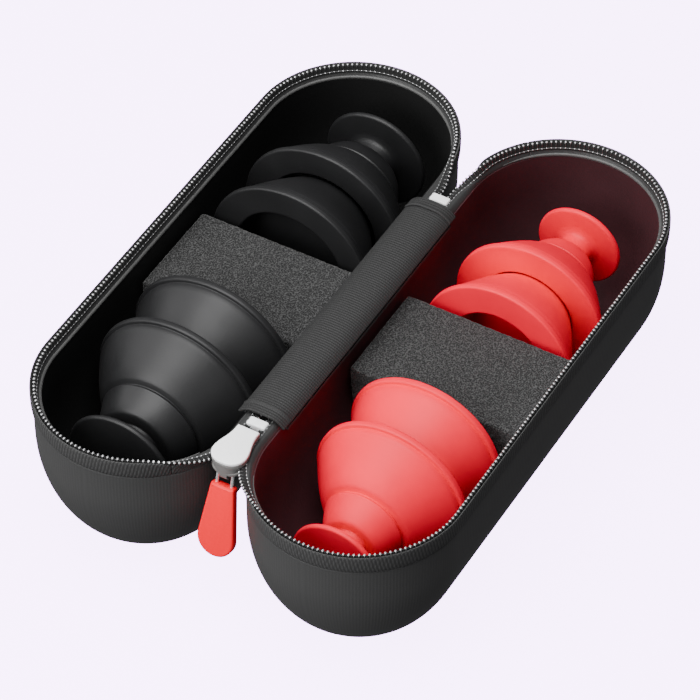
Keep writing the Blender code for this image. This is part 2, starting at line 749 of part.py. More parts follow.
clear_scene()
PARTS = new_collection("ear_plug_case")
CUTTERS = new_collection("cutters")
main()
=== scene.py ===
"""Finished surfaces for two pairs of flanged ear plugs in a zip-round hard case, opened flat.

Every piece is built round the fixed frame, in metres. Most sizes are shares of the radius of the
case's round ends, and most heights are measured from the rim, where the two halves meet.
"""

import math

import bmesh
import bpy
from bpy.props import FloatProperty, FloatVectorProperty, IntProperty, PointerProperty
from mathutils import Matrix, Vector, noise
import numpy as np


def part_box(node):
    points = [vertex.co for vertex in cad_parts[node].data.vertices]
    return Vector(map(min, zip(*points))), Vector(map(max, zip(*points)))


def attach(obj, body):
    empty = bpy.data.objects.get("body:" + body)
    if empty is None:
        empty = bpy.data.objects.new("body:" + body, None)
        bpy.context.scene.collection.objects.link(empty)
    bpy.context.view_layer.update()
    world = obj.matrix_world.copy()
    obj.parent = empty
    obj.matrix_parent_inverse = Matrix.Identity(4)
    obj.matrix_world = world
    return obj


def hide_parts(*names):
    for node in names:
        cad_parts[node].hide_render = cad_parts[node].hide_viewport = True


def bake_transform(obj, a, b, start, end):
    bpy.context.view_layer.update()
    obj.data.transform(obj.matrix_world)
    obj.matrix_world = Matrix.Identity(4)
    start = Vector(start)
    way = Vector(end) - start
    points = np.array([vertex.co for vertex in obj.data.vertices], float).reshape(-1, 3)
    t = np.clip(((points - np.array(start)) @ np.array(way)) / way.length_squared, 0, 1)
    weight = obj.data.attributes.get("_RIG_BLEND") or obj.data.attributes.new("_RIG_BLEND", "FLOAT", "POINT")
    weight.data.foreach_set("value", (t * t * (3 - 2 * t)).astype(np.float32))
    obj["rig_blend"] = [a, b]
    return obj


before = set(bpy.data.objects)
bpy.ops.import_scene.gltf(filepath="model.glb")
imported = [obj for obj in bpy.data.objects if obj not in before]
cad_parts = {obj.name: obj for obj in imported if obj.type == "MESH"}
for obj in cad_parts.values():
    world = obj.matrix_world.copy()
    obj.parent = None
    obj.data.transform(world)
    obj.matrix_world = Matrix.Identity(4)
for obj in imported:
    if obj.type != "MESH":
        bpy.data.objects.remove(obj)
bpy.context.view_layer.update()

bl_info = {
    "name": "Ear Plug Travel Case",
    "version": (1, 0, 0),
    "blender": (4, 5, 0),
    "location": "View3D > Sidebar > Ear Plugs",
    "description": "Builds an open hard case with four flanged ear plugs",
    "category": "Add Mesh",
}

# Proportions of the case, in radii of its round ends
STRAIGHT = 1.945
COLLAR_RADIUS = 1.045
COLLAR_DROP = 0.030
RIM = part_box("right_zip_tape")[1].y / (STRAIGHT + COLLAR_RADIUS)
RIM_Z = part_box("right_zip_tape")[1].z + COLLAR_DROP * RIM
SIDE_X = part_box("right_zip_tape")[1].x - COLLAR_RADIUS * RIM
LAP = 2 * math.pi + 4 * STRAIGHT  # once round a rim
SHELL_RADIUS = 1.023
LINING_RADIUS = 0.945
BELLY_TOP = -0.54
DEPTH = RIM_Z / RIM
STRIP = 0.25  # half the flat strip underneath

# Where the zip leaves the rims for the hinge, as distances along the rim from the hinge's middle
FRONT_START = 1.68
REAR_START = 1.42
TAIL_END = 2.71
MEETING_RADIUS = 1.0965
FRONT_LEAVES = (2.20, 3.00)
REAR_LEAVES = (1.72, 2.25)
FRONT_SINKS = (2.15, 3.10)
REAR_SINKS = (1.70, 2.30)
SINK = 0.118
CHAIN_Z = -0.012

# The pull and its tab
PULL_AXIS = (-2.380 * RIM, RIM_Z - 0.225 * RIM)
TAB_LEAN = math.radians(15.0)
TAB_START = 0.130
TAB_LENGTH = 0.780
TAB_TOP_HALF = 0.122
TAB_ROUND = 0.190
TAB_THICKNESS = 0.100

SIDES = {"left": -1, "right": 1}
HALF_BODIES = {"left": "left_half", "right": "right_half"}
SPINE = "hinge_spine"


# ---------------------------------------------------------------- user settings


def length(label, text, value):
    return FloatProperty(name=label, description=text, default=value, unit="LENGTH")


def power(label, text, value):
    return FloatProperty(name=label, description=text, default=value, unit="POWER")


def angle(label, text, degrees):
    return FloatProperty(name=label, description=text, default=math.radians(degrees), subtype="ANGLE")


def colour(label, text, value):
    return FloatVectorProperty(
        name=label, description=text, default=value, subtype="COLOR", size=3, min=0.0, max=1.0
    )


class CaseSizes(bpy.types.PropertyGroup):
    """Sizes of the small repeated features."""

    tooth_pitch: length("Tooth Pitch", "Distance from one zip tooth to the next", 0.0467 * RIM)
    shell_rib: length("Shell Rib", "Distance between the ribs of the shell fabric", 0.030 * RIM)
    band_rib: length("Band Rib", "Distance between the ribs of the hinge band", 0.0295 * RIM)
    collar_rib: length("Collar Rib", "Distance between the slanted ribs of the outer tape", 0.026 * RIM)
    foam_cell: length("Foam Cell", "Width of one open cell of the foam", 0.015 * RIM)
    plug_steps: IntProperty(
        name="Plug Steps", description="Steps in one turn of an ear plug", default=112, min=32, max=256
    )


class CaseColours(bpy.types.PropertyGroup):
    """Colours of the case and its plugs."""

    shell: colour("Shell", "Fabric over the hard shells", (0.046, 0.046, 0.046))
    collar: colour("Collar", "Outer tape of the zip", (0.040, 0.040, 0.040))
    tape: colour("Tape", "Smooth inner tape of the zip", (0.018, 0.018, 0.018))
    core: colour("Core", "Tape edge between the teeth", (0.003, 0.003, 0.003))
    piping: colour("Piping", "Cord round the lining", (0.050, 0.050, 0.049))
    black_lining: colour("Black Lining", "Lining of the left half", (0.004, 0.004, 0.004))
    wine_lining: colour("Wine Lining", "Lining of the right half", (0.038, 0.011, 0.014))
    band: colour("Band", "Woven hinge band", (0.016, 0.016, 0.016))
    foam: colour("Foam", "Open-cell foam", (0.012, 0.012, 0.012))
    teeth: colour("Teeth", "Zip teeth", (0.620, 0.620, 0.630))
    # The tooth arms get a darker copy of the tooth metal: painted shade under the bright heads
    shank: colour("Tooth Shank", "Arms of the teeth", (0.110, 0.110, 0.110))
    thread: colour("Thread", "Cords that hold the teeth", (0.060, 0.060, 0.060))
    white_metal: colour("White Metal", "Stops and slider plate", (0.930, 0.930, 0.935))
    grey_metal: colour("Grey Metal", "Slider body", (0.200, 0.195, 0.190))
    pull: colour("Pull", "Moulded pull tab", (1.000, 0.001, 0.014))
    red: colour("Red Silicone", "Plugs of the right half", (0.830, 0.001, 0.026))
    black: colour("Black Silicone", "Plugs of the left half", (0.0095, 0.0095, 0.010))


class StageSettings(bpy.types.PropertyGroup):
    """Camera, lights and floor."""

    azimuth: angle("Azimuth", "Turn of the camera", 29.85)
    elevation: angle("Elevation", "Height of the camera", 45.46)
    distance: length("Distance", "Camera to the case", 37.2 * RIM)
    lens: FloatProperty(name="Lens", description="Focal length in millimetres", default=204.5)
    aim_right: length("Aim Right", "Aim, right of the case's middle", -0.0637 * RIM)
    aim_up: length("Aim Up", "Aim, above the case's middle", -0.5233 * RIM)
    key_power: power("Key Power", "Overhead softbox", 2.7)
    front_power: power("Front Power", "Softbox before the case", 2.3)
    side_power: power("Side Power", "Softbox on the left", 0.5)
    world: FloatProperty(name="World", description="Strength of the even light all round", default=0.22)
    floor_glow: FloatProperty(name="Floor Glow", description="Brightness of the floor", default=9.0)
    floor: colour("Floor", "Colour of the floor", (0.800, 0.560, 1.000))


def sizes():
    return bpy.context.scene.case_sizes


def paint(key):
    return tuple(getattr(bpy.context.scene.case_colours, key))


# ---------------------------------------------------------------- places and shapes


def ease(low, high, value):
    """0 below low, 1 above high, and a smooth rise between them."""
    share = min(max((value - low) / (high - low), 0.0), 1.0)
    return share * share * (3 - 2 * share)


def mix(first, second, share):
    return first + (second - first) * share


def around(side, along, radius, height):
    """The point that lies along radii round the rim from the hinge's middle, front end first."""
    along %= LAP
    front = STRAIGHT + math.pi
    rear = front + 2 * STRAIGHT
    if along <= STRAIGHT:
        x, y = -radius, -along
    elif along <= front:
        turn = along - STRAIGHT - math.pi
        x, y = radius * math.cos(turn), -STRAIGHT + radius * math.sin(turn)
    elif along <= rear:
        x, y = radius, -STRAIGHT + along - front
    elif along <= rear + math.pi:
        turn = along - rear
        x, y = radius * math.cos(turn), STRAIGHT + radius * math.sin(turn)
    else:
        x, y = -radius, LAP - along
    return Vector((side * (SIDE_X + x * RIM), y * RIM, RIM_Z + height * RIM))


def along_of(side, point):
    """How far round the rim a point is, from the hinge's middle."""
    x = (side * point.x - SIDE_X) / RIM
    y = point.y / RIM
    if y < -STRAIGHT:
        return STRAIGHT + math.atan2(y + STRAIGHT, x) + math.pi
    if y > STRAIGHT:
        return 3 * STRAIGHT + math.pi + math.atan2(y - STRAIGHT, x)
    if x > 0:
        return 2 * STRAIGHT + math.pi + y
    return -y % LAP


def zip_line(along):
    """Radius and height of the tape's edge, and how far it leans from upright to flat."""
    front = along < LAP / 2
    from_hinge = along if front else LAP - along
    leaves = FRONT_LEAVES if front else REAR_LEAVES
    sinks = FRONT_SINKS if front else REAR_SINKS
    radius = mix(MEETING_RADIUS, 1.0, ease(*leaves, from_hinge))
    sunk = 1 - ease(*sinks, from_hinge)
    return radius, CHAIN_Z - SINK * sunk, sunk * math.pi / 2


def chain_point(along, out, up):
    """(radius, height) of a point by its distances from the tape's edge."""
    radius, height, lean = zip_line(along)
    return (
        radius + out * math.cos(lean) + up * math.sin(lean),
        height - out * math.sin(lean) + up * math.cos(lean),
    )


def new_object(name, mesh, *materials):
    obj = bpy.data.objects.new(name, mesh)
    bpy.context.scene.collection.objects.link(obj)
    for material in materials:
        mesh.materials.append(material)
    return obj


def finish_mesh(name, bm, *materials, smooth_angle=40.0, recalc=True):
    """Closes the doubles, turns the faces outwards and makes the object."""
    if recalc:
        bmesh.ops.remove_doubles(bm, verts=bm.verts, dist=RIM * 1e-5)
        bmesh.ops.recalc_face_normals(bm, faces=bm.faces)
    mesh = bpy.data.meshes.new(name)
    bm.to_mesh(mesh)
    bm.free()
    mesh.shade_smooth()
    mesh.set_sharp_from_angle(angle=math.radians(smooth_angle))
    return new_object(name, mesh, *materials)


def dress(piece, body, slot, *nodes):
    """Hides the nodes a piece stands for and ties it to the body it moves with. The slot argument is not
    used.
    """
    if nodes:
        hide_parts(*nodes)
    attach(piece, body)


def subdivide(obj, levels):
    modifier = obj.modifiers.new("Subdivision", "SUBSURF")
    modifier.levels = levels
    modifier.render_levels = levels


def thicken(obj, thickness, offset=-1.0):
    modifier = obj.modifiers.new("Thickness", "SOLIDIFY")
    modifier.thickness = thickness
    modifier.offset = offset
    modifier.use_even_offset = True
    modifier.use_quality_normals = True


def faces_away(bm, centre):
    """Turns an open sheet so that its faces point away from a line above the floor."""
    face = bm.faces[:][len(bm.faces) // 2]
    if face.normal.dot(face.calc_center_median() - centre) < 0:
        bmesh.ops.reverse_faces(bm, faces=bm.faces)


def mapped_sheet(columns, rows, place, span):
    """A grid whose points are put in place by their shares along and across, with a UV in metres."""
    bm = bmesh.new()
    bmesh.ops.create_grid(bm, x_segments=columns, y_segments=rows, size=0.5)
    layer = bm.loops.layers.uv.new("UVMap")
    for face in bm.faces:
        for loop in face.loops:
            co = loop.vert.co
            loop[layer].uv = ((co.x + 0.5) * span[0], (co.y + 0.5) * span[1])
    for vert in bm.verts:
        vert.co = place(vert.co.x + 0.5, vert.co.y + 0.5)
    bm.normal_update()
    return bm


def fillet(points, steps=4):
    """Rounds the corners of a profile. Each point is (x, y, size of its corner)."""
    result = []
    for index, (x, y, size) in enumerate(points):
        here = Vector((x, y))
        if size == 0 or index in (0, len(points) - 1):
            result.append(here)
            continue
        before = Vector(points[index - 1][:2]) - here
        after = Vector(points[index + 1][:2]) - here
        start = here + before.normalized() * min(size, before.length * 0.49)
        end = here + after.normalized() * min(size, after.length * 0.49)
        for step in range(steps + 1):
            share = step / steps
            result.append(start.lerp(here, share).lerp(here.lerp(end, share), share))
    return result


def profile_edges(points, place):
    """A line of joined vertices; place puts a profile point in space."""
    bm = bmesh.new()
    run_layer = bm.verts.layers.float.new("run")
    run = 0.0
    last = None
    last_point = None
    for point in points:
        vert = bm.verts.new(place(point))
        if last is not None:
            run += (point - last_point).length * RIM
            bm.edges.new((last, vert))
        vert[run_layer] = run
        last = vert
        last_point = point
    return bm


def carry_round(bm, side, steps):
    """Takes a profile at the outer side of the front end once round the capsule outline."""
    centre_x = side * SIDE_X
    for end in (-1, 1):
        far = [edge for edge in bm.edges if not edge.link_faces] if end < 0 else grown_edges
        spun = bmesh.ops.spin(
            bm,
            geom=[*{vert for edge in far for vert in edge.verts}, *far],
            cent=(centre_x, end * STRAIGHT * RIM, 0.0),
            axis=(0.0, 0.0, 1.0),
            angle=-side * math.pi,
            steps=steps,
        )["geom_last"]
        last_edges = [item for item in spun if isinstance(item, bmesh.types.BMEdge)]
        grown = bmesh.ops.extrude_edge_only(bm, edges=last_edges)["geom"]
        grown_edges = [item for item in grown if isinstance(item, bmesh.types.BMEdge)]
        for item in grown:
            if isinstance(item, bmesh.types.BMVert):
                item.co.y = -end * STRAIGHT * RIM
        grown_edges = [
            edge
            for edge in grown_edges
            if all(abs(vert.co.y + end * STRAIGHT * RIM) < RIM * 1e-6 for vert in edge.verts)
        ]
    bmesh.ops.remove_doubles(bm, verts=bm.verts, dist=RIM * 1e-5)


def unwrap_round(bm, side):
    """UV in metres: round the rim, and down the profile."""
    run_layer = bm.verts.layers.float["run"]
    layer = bm.loops.layers.uv.new("UVMap")
    for face in bm.faces:
        middle = along_of(side, face.calc_center_median())
        for loop in face.loops:
            along = along_of(side, loop.vert.co)
            local_x = side * loop.vert.co.x - SIDE_X
            if abs(local_x) < RIM * 1e-4:
                along = middle
            if along - middle > LAP / 2:
                along -= LAP
            if middle - along > LAP / 2:
                along += LAP
            loop[layer].uv = (along * RIM, loop.vert[run_layer])


END_STEPS = 56  # facets round each end of a tray


def belly(inset, steps):
    """Rounded wall below the straight part, set in from the shell's outside, down to the middle."""
    wall = SHELL_RADIUS - inset
    drop = DEPTH + BELLY_TOP - inset
    points = []
    for step in range(1, steps + 1):
        turn = math.pi / 2 * step / steps
        points.append((STRIP + (wall - STRIP) * math.cos(turn), BELLY_TOP - drop * math.sin(turn)))
    points.append((0.0, points[-1][1]))
    return [Vector(point) for point in points]


def cup(name, side, points, wall, offset, material):
    """A capsule-shaped tray from its profile, made solid."""
    bm = profile_edges(
        points,
        lambda p: Vector((side * (SIDE_X + p.x * RIM), -STRAIGHT * RIM, RIM_Z + p.y * RIM)),
    )
    carry_round(bm, side, END_STEPS)
    bmesh.ops.recalc_face_normals(bm, faces=bm.faces)
    lowest = min(bm.faces, key=lambda face: face.calc_center_median().z)
    if lowest.normal.z > 0:
        bmesh.ops.reverse_faces(bm, faces=bm.faces)
    unwrap_round(bm, side)
    obj = finish_mesh(name, bm, material, recalc=False)
    thicken(obj, wall * RIM, offset)
    return obj


def tube(name, points, radius, material, radii=None, resolution=3):
    """A round cord along points, as a mesh."""
    curve = bpy.data.curves.new(name, "CURVE")
    curve.dimensions = "3D"
    curve.bevel_depth = radius
    curve.bevel_resolution = resolution
    curve.use_fill_caps = True
    spline = curve.splines.new("POLY")
    spline.points.add(len(points) - 1)
    for index, (point, co) in enumerate(zip(spline.points, points)):
        point.co = (*co, 1.0)
        point.radius = 1.0 if radii is None else radii[index]
    obj = bpy.data.objects.new(name, curve)
    bpy.context.scene.collection.objects.link(obj)
    bpy.context.view_layer.update()
    mesh = bpy.data.meshes.new_from_object(obj.evaluated_get(bpy.context.evaluated_depsgraph_get()))
    bpy.data.objects.remove(obj, do_unlink=True)
    bm = bmesh.new()
    bm.from_mesh(mesh)
    bpy.data.meshes.remove(mesh)
    return finish_mesh(name, bm, material, smooth_angle=60.0)


def block(low, high, bevel, segments=3):
    """A box between two corners with rounded edges."""
    bm = bmesh.new()
    bmesh.ops.create_cube(bm, size=1.0)
    for vert in bm.verts:
        for axis in range(3):
            vert.co[axis] = mix(low[axis], high[axis], vert.co[axis] + 0.5)
    bmesh.ops.bevel(
        bm, geom=bm.edges[:], offset=bevel, segments=segments, profile=0.5, affect="EDGES", material=-1
    )
    return bm


def plate(outline, bottom, top, bevel, segments=3):
    """A flat outline in X and Y made into a plate with rounded edges."""
    bm = bmesh.new()
    verts = [bm.verts.new((x, y, bottom)) for x, y in outline]
    face = bm.faces.new(verts)
    grown = bmesh.ops.extrude_face_region(bm, geom=[face])["geom"]
    for item in grown:
        if isinstance(item, bmesh.types.BMVert):
            item.co.z = top
    bmesh.ops.recalc_face_normals(bm, faces=bm.faces)
    rims = [edge for edge in bm.edges if abs(edge.verts[0].co.z - edge.verts[1].co.z) < 1e-9]
    bmesh.ops.bevel(
        bm, geom=rims, offset=bevel, segments=segments, profile=0.5, affect="EDGES", material=-1
    )
    return bm


def take_in(whole, part):
    """Moves one bmesh into another."""
    mesh = bpy.data.meshes.new("part")
    part.to_mesh(mesh)
    part.free()
    whole.from_mesh(mesh)
    bpy.data.meshes.remove(mesh)


def stamp(bm, mesh, matrix):
    """Adds a copy of a small mesh."""
    first = len(bm.verts)
    bm.from_mesh(mesh)
    bm.verts.ensure_lookup_table()
    bmesh.ops.transform(bm, matrix=matrix, verts=bm.verts[first:])


# ---------------------------------------------------------------- materials


def add_node(tree, kind, inputs=None, **settings):
    """Adds a node. An input is a value, or the socket that feeds it."""
    made = tree.nodes.new(kind)
    for key, value in settings.items():
        setattr(made, key, value)
    for key, value in (inputs or {}).items():
        if isinstance(value, bpy.types.NodeSocket):
            tree.links.new(value, made.inputs[key])
        else:
            made.inputs[key].default_value = value
    return made


def new_material(name, colour_value, roughness, **sockets):
    """A Principled material. Returns it with its tree and its shader."""
    material = bpy.data.materials.new(name)
    material.use_nodes = True
    tree = material.node_tree
    shader = tree.nodes["Principled BSDF"]
    shader.inputs["Base Color"].default_value = (*colour_value, 1.0)
    shader.inputs["Roughness"].default_value = roughness
    for key, value in sockets.items():
        shader.inputs[key.replace("_", " ")].default_value = value
    material.diffuse_color = (*colour_value, 1.0)
    return material, tree, shader


def place_node(tree, pattern="Object", scale=(1.0, 1.0, 1.0), turn=0.0):
    """Coordinates for a pattern, from the object or its UV, scaled and turned."""
    source = add_node(tree, "ShaderNodeTexCoord").outputs[pattern]
    mapping = add_node(
        tree, "ShaderNodeMapping", {"Vector": source, "Scale": scale, "Rotation": (0.0, 0.0, turn)}
    )
    return mapping.outputs["Vector"]


def math_node(tree, operation, *values):
    made = add_node(tree, "ShaderNodeMath", operation=operation)
    for socket, value in zip(made.inputs, values):
        if isinstance(value, bpy.types.NodeSocket):
            tree.links.new(value, socket)
        else:
            socket.default_value = value
    return made.outputs[0]


def noise_node(tree, vector, scale, detail=3.0, roughness=0.55):
    made = add_node(
        tree,
        "ShaderNodeTexNoise",
        {"Vector": vector, "Scale": scale, "Detail": detail, "Roughness": roughness},
    )
    return made.outputs["Fac"]


def ramp_node(tree, factor, stops):
    """A colour ramp from (place, colour) pairs."""
    made = add_node(tree, "ShaderNodeValToRGB", {"Fac": factor})
    elements = made.color_ramp.elements
    while len(elements) < len(stops):
        elements.new(0.5)
    for element, (place, value) in zip(elements, stops):
        element.position = place
        element.color = (*value, 1.0)
    return made.outputs["Color"]


def shade(value, factor):
    return tuple(min(channel * factor, 1.0) for channel in value)


def tint(tree, shader, factor, value, dark, light):
    """Varies the colour between a darker and a lighter tone of itself."""
    colour_out = ramp_node(tree, factor, [(0.25, shade(value, dark)), (0.75, shade(value, light))])
    tree.links.new(colour_out, shader.inputs["Base Color"])


def bump(tree, shader, height, distance, strength=1.0, normal=None):
    inputs = {"Height": height, "Distance": distance, "Strength": strength}
    if normal is not None:
        inputs["Normal"] = normal
    made = add_node(tree, "ShaderNodeBump", inputs)
    tree.links.new(made.outputs["Normal"], shader.inputs["Normal"])
    return made.outputs["Normal"]


def vary_roughness(tree, shader, factor, low, high):
    made = add_node(
        tree,
        "ShaderNodeMapRange",
        {"Value": factor, "From Min": 0.3, "From Max": 0.7, "To Min": low, "To Max": high},
    )
    tree.links.new(made.outputs["Result"], shader.inputs["Roughness"])


def stripes(tree, vector, axis):
    """A smooth wave from 0 to 1, one for each unit along an axis of the pattern."""
    parts = add_node(tree, "ShaderNodeSeparateXYZ", {"Vector": vector})
    turn = math_node(tree, "MULTIPLY", parts.outputs[axis], 2 * math.pi)
    return math_node(tree, "MULTIPLY_ADD", math_node(tree, "SINE", turn), 0.5, 0.5)


def weave_material(name, value, rib, cross, turn, depth, contrast, roughness):
    """Cloth with ribs crossed by finer threads, on the piece's own UV; darker in the hollows between them as
    painted shade.
    """
    material, tree, shader = new_material(
        name, value, roughness, Specular_IOR_Level=0.3
    )
    vector = place_node(tree, "UV", (1 / rib, 1 / cross, 1.0), turn)
    ribs = stripes(tree, vector, "X")
    threads = stripes(tree, vector, "Y")
    woven = math_node(tree, "MULTIPLY", ribs, math_node(tree, "MULTIPLY_ADD", threads, 0.6, 0.4))
    fibre = noise_node(tree, place_node(tree, "UV", (1 / rib, 1 / cross, 1.0)), 1.7)
    height = math_node(tree, "MULTIPLY_ADD", fibre, 0.35, woven)
    # The colour follows the relief: painted shade in the hollows and painted light on the raised threads
    tint(tree, shader, height, value, 1 - contrast, 1 + contrast)
    bump(tree, shader, height, depth)
    return material


def silicone_material(name, value, roughness, glow, gloss):
    """Satin moulded silicone with a faint bloom."""
    material, tree, shader = new_material(
        name,
        value,
        roughness,
        Subsurface_Weight=glow,
        Subsurface_Radius=(1.0, 0.25, 0.15),
        Subsurface_Scale=0.06 * RIM,
        Specular_IOR_Level=gloss,
    )
    vector = place_node(tree)
    cloud = noise_node(tree, vector, 2.2 / RIM)
    grain = noise_node(tree, vector, 60 / RIM)
    tint(tree, shader, cloud, value, 0.93, 1.07)
    vary_roughness(tree, shader, cloud, roughness - 0.05, roughness + 0.07)
    bump(tree, shader, grain, 0.0025 * RIM, 0.35)
    return material


def metal_material(name, value, roughness, metallic):
    """Satin plated metal with fine scratches."""
    material, tree, shader = new_material(name, value, roughness, Metallic=metallic)
    vector = place_node(tree, "Object", (1.0, 7.0, 1.0))
    scratch = noise_node(tree, vector, 30 / RIM, 5.0)
    tint(tree, shader, scratch, value, 0.95, 1.05)
    vary_roughness(tree, shader, scratch, roughness - 0.06, roughness + 0.08)
    bump(tree, shader, scratch, 0.002 * RIM, 0.25)
    return material


def grained_material(name, value, roughness, grain, tones, relief, **sockets):
    """One colour varied by a fine grain: grain is (scale, detail), relief is (depth, strength)."""
    material, tree, shader = new_material(name, value, roughness, **sockets)
    speck = noise_node(tree, place_node(tree), *grain)
    tint(tree, shader, speck, value, *tones)
    bump(tree, shader, speck, *relief)
    return material


def lining_material(name, value, lift):
    """Fine brushed lining, a little lighter and darker in broad random patches."""
    material, tree, shader = new_material(
        name, value, 0.62, Specular_IOR_Level=0.25
    )
    vector = place_node(tree)
    cloud = noise_node(tree, vector, 0.9 / RIM, 2.0)
    nap = noise_node(tree, vector, 42 / RIM, 4.0)
    blend = math_node(tree, "MULTIPLY_ADD", nap, 0.25, math_node(tree, "MULTIPLY", cloud, 0.8))
    tint(tree, shader, blend, value, 1 - lift, 1 + lift)
    bump(tree, shader, nap, 0.004 * RIM, 0.5)
    return material


def tape_material(name, value, roughness, pattern="UV"):
    """Smooth tape with a fine lengthwise grain, on its UV or on the object's own axes."""
    material, tree, shader = new_material(
        name, value, roughness, Specular_IOR_Level=0.35, Sheen_Weight=0.05
    )
    grain = noise_node(tree, place_node(tree, pattern, (90 / RIM, 12 / RIM, 90 / RIM)), 1.0)
    cloud = noise_node(tree, place_node(tree), 4 / RIM)
    tint(tree, shader, cloud, value, 0.85, 1.15)
    bump(tree, shader, grain, 0.004 * RIM, 0.5)
    return material


def foam_material(value, cell):
    """Open-cell foam: dark pores, painted shade in its holes, between paler struts."""
    material, tree, shader = new_material(
        "open_cell_foam", value, 0.95, Specular_IOR_Level=0.25, Sheen_Weight=0.1
    )
    vector = place_node(tree)
    cells = add_node(
        tree, "ShaderNodeTexVoronoi", {"Vector": vector, "Scale": 1 / cell, "Randomness": 1.0}
    )
    speck = noise_node(tree, vector, 1.6 / cell, 2.0)
    struts = math_node(tree, "MULTIPLY", cells.outputs["Distance"], speck)
    # The dark end of the ramp is painted shade in the pores
    colour_out = ramp_node(
        tree,
        struts,
        [(0.07, shade(value, 0.10)), (0.20, shade(value, 0.8)), (0.40, shade(value, 4.2))],
    )
    tree.links.new(colour_out, shader.inputs["Base Color"])
    bump(tree, shader, struts, 0.6 * cell, 0.9)
    return material


# ---------------------------------------------------------------- case body


SHELL_WALL = 0.030
LINING_WALL = 0.028
PIPING_START = 2.40
PIPING_PLACE = (0.953, -0.132)  # radius and height
PIPING_RADIUS = 0.017
PIPING_TIP = 0.25  # share of its radius left at its ends
PIPING_TAPER = 0.50
PIPING_STEPS = 260


def shell_points():
    """Profile of the fabric cover, from the groove under the collar to the middle underneath."""
    wall = SHELL_RADIUS
    top = [
        (wall - 0.040, -0.200, 0.0),
        (wall - 0.012, -0.205, 0.010),
        (wall + 0.002, -0.226, 0.012),
        (wall, -0.300, 0.0),
        (wall, BELLY_TOP, 0.0),
    ]
    return [*fillet(top), *belly(0.0, 26)]


def lining_points():
    inset = SHELL_RADIUS - LINING_RADIUS
    top = [
        (LINING_RADIUS + 0.012, -0.152, 0.0),
        (LINING_RADIUS, -0.152, 0.010),
        (LINING_RADIUS, -0.300, 0.0),
        (LINING_RADIUS, BELLY_TOP, 0.0),
    ]
    return [*fillet(top), *belly(inset, 24)]


class CASE_OT_shells(bpy.types.Operator):
    """Build the fabric-covered hard shells of both halves."""

    bl_idname = "ear_plug_case.shells"
    bl_label = "Case Shells"

    def execute(self, context):
        rib = sizes().shell_rib
        cloth = weave_material(
            "shell_cloth", paint("shell"), rib, 0.8 * rib, 0.0, 0.03 * rib, 0.05, 0.60
        )
        for word, side in SIDES.items():
            shell = cup(f"{word}_shell_cover", side, shell_points(), SHELL_WALL, -1.0, cloth)
            dress(shell, HALF_BODIES[word], "shell_fabric", f"{word}_shell")
        return {"FINISHED"}


class CASE_OT_linings(bpy.types.Operator):
    """Build the soft linings, black in the left half and wine red in the right."""

    bl_idname = "ear_plug_case.linings"
    bl_label = "Linings"

    def execute(self, context):
        looks = {"left": ("black_lining", 0.35), "right": ("wine_lining", 0.40)}
        for word, side in SIDES.items():
            slot, lift = looks[word]
            cloth = lining_material(f"{slot}_cloth", paint(slot), lift)
            lining = cup(f"{word}_lining_skin", side, lining_points(), LINING_WALL, 1.0, cloth)
            dress(lining, HALF_BODIES[word], slot, f"{word}_lining")
        return {"FINISHED"}


class CASE_OT_piping(bpy.types.Operator):
    """Build the thin cord round each lining, tapering out beside the hinge."""

    bl_idname = "ear_plug_case.piping"
    bl_label = "Lining Piping"

    def execute(self, context):
        cord = grained_material(
            "piping_cord",
            paint("piping"),
            0.45,
            (22 / RIM, 3.0),
            (0.85, 1.12),
            (0.003 * RIM, 0.5),
            Sheen_Weight=0.1,
            Specular_IOR_Level=0.4,
        )
        for word, side in SIDES.items():
            points = []
            radii = []
            for step in range(PIPING_STEPS + 1):
                along = mix(PIPING_START, LAP - PIPING_START, step / PIPING_STEPS)
                from_end = min(along, LAP - along) - PIPING_START
                points.append(around(side, along, *PIPING_PLACE))
                radii.append(mix(PIPING_TIP, 1.0, ease(0.0, PIPING_TAPER, from_end)))
            piping = tube(f"{word}_piping_cord", points, PIPING_RADIUS * RIM, cord, radii)
            dress(piping, HALF_BODIES[word], "piping", f"{word}_piping")
        return {"FINISHED"}


# ---------------------------------------------------------------- zip


def facing_edge(lean):
    """Where the smooth tape stops short of the teeth: lower on the rim than beside the hinge."""
    return mix(-0.024, -0.020, lean), mix(-0.084, -0.050, lean)


def facing_section(along):
    """Smooth inner tape, from the lining up to the teeth."""
    lean = zip_line(along)[2] / (math.pi / 2)
    foot = Vector((0.950, -0.153))
    top = Vector(chain_point(along, *facing_edge(lean)))
    crown = Vector((0.0, mix(0.004, 0.030, lean)))
    return [
        foot + Vector((0.012, -0.020)),
        foot,
        foot.lerp(top, 0.30) + crown * 0.8 - Vector((0.006 * (1 - lean), 0.0)),
        foot.lerp(top, 0.62) + crown - Vector((0.004 * (1 - lean), 0.0)),
        top,
        Vector(chain_point(along, -0.014, -0.040)),
    ]


def core_section(along):
    """Tape edge that the teeth are clamped on."""
    lean = zip_line(along)[2] / (math.pi / 2)
    out, up = facing_edge(lean)
    offsets = [(out - 0.004, up - 0.006), (out + 0.003, up + 0.030), (-0.012, -0.020), (-0.008, -0.002)]
    offsets += [(0.0, 0.0), (0.008, -0.002), (0.012, -0.020), (0.012, -0.060)]
    return [Vector(chain_point(along, out, up)) for out, up in offsets]


def collar_section(along):
    """Woven outer tape, from its ledge under the teeth down to the groove above the shell."""
    lean = zip_line(along)[2] / (math.pi / 2)
    top = Vector(chain_point(along, 0.012, -0.045))
    foot = Vector((1.026, -0.214))
    upright = [
        (1.018, -0.056),
        (1.026, -0.030),
        (1.030, -0.008),
        (1.040, -0.004),
        (1.046, -0.018),
        (1.046, -0.110),
        (1.043, -0.190),
    ]
    rows = []
    for index, point in enumerate(upright):
        flat = top.lerp(foot, index / len(upright))
        rows.append(Vector(point).lerp(flat, ease(0.0, 0.6, lean)))
    return [*rows, foot]


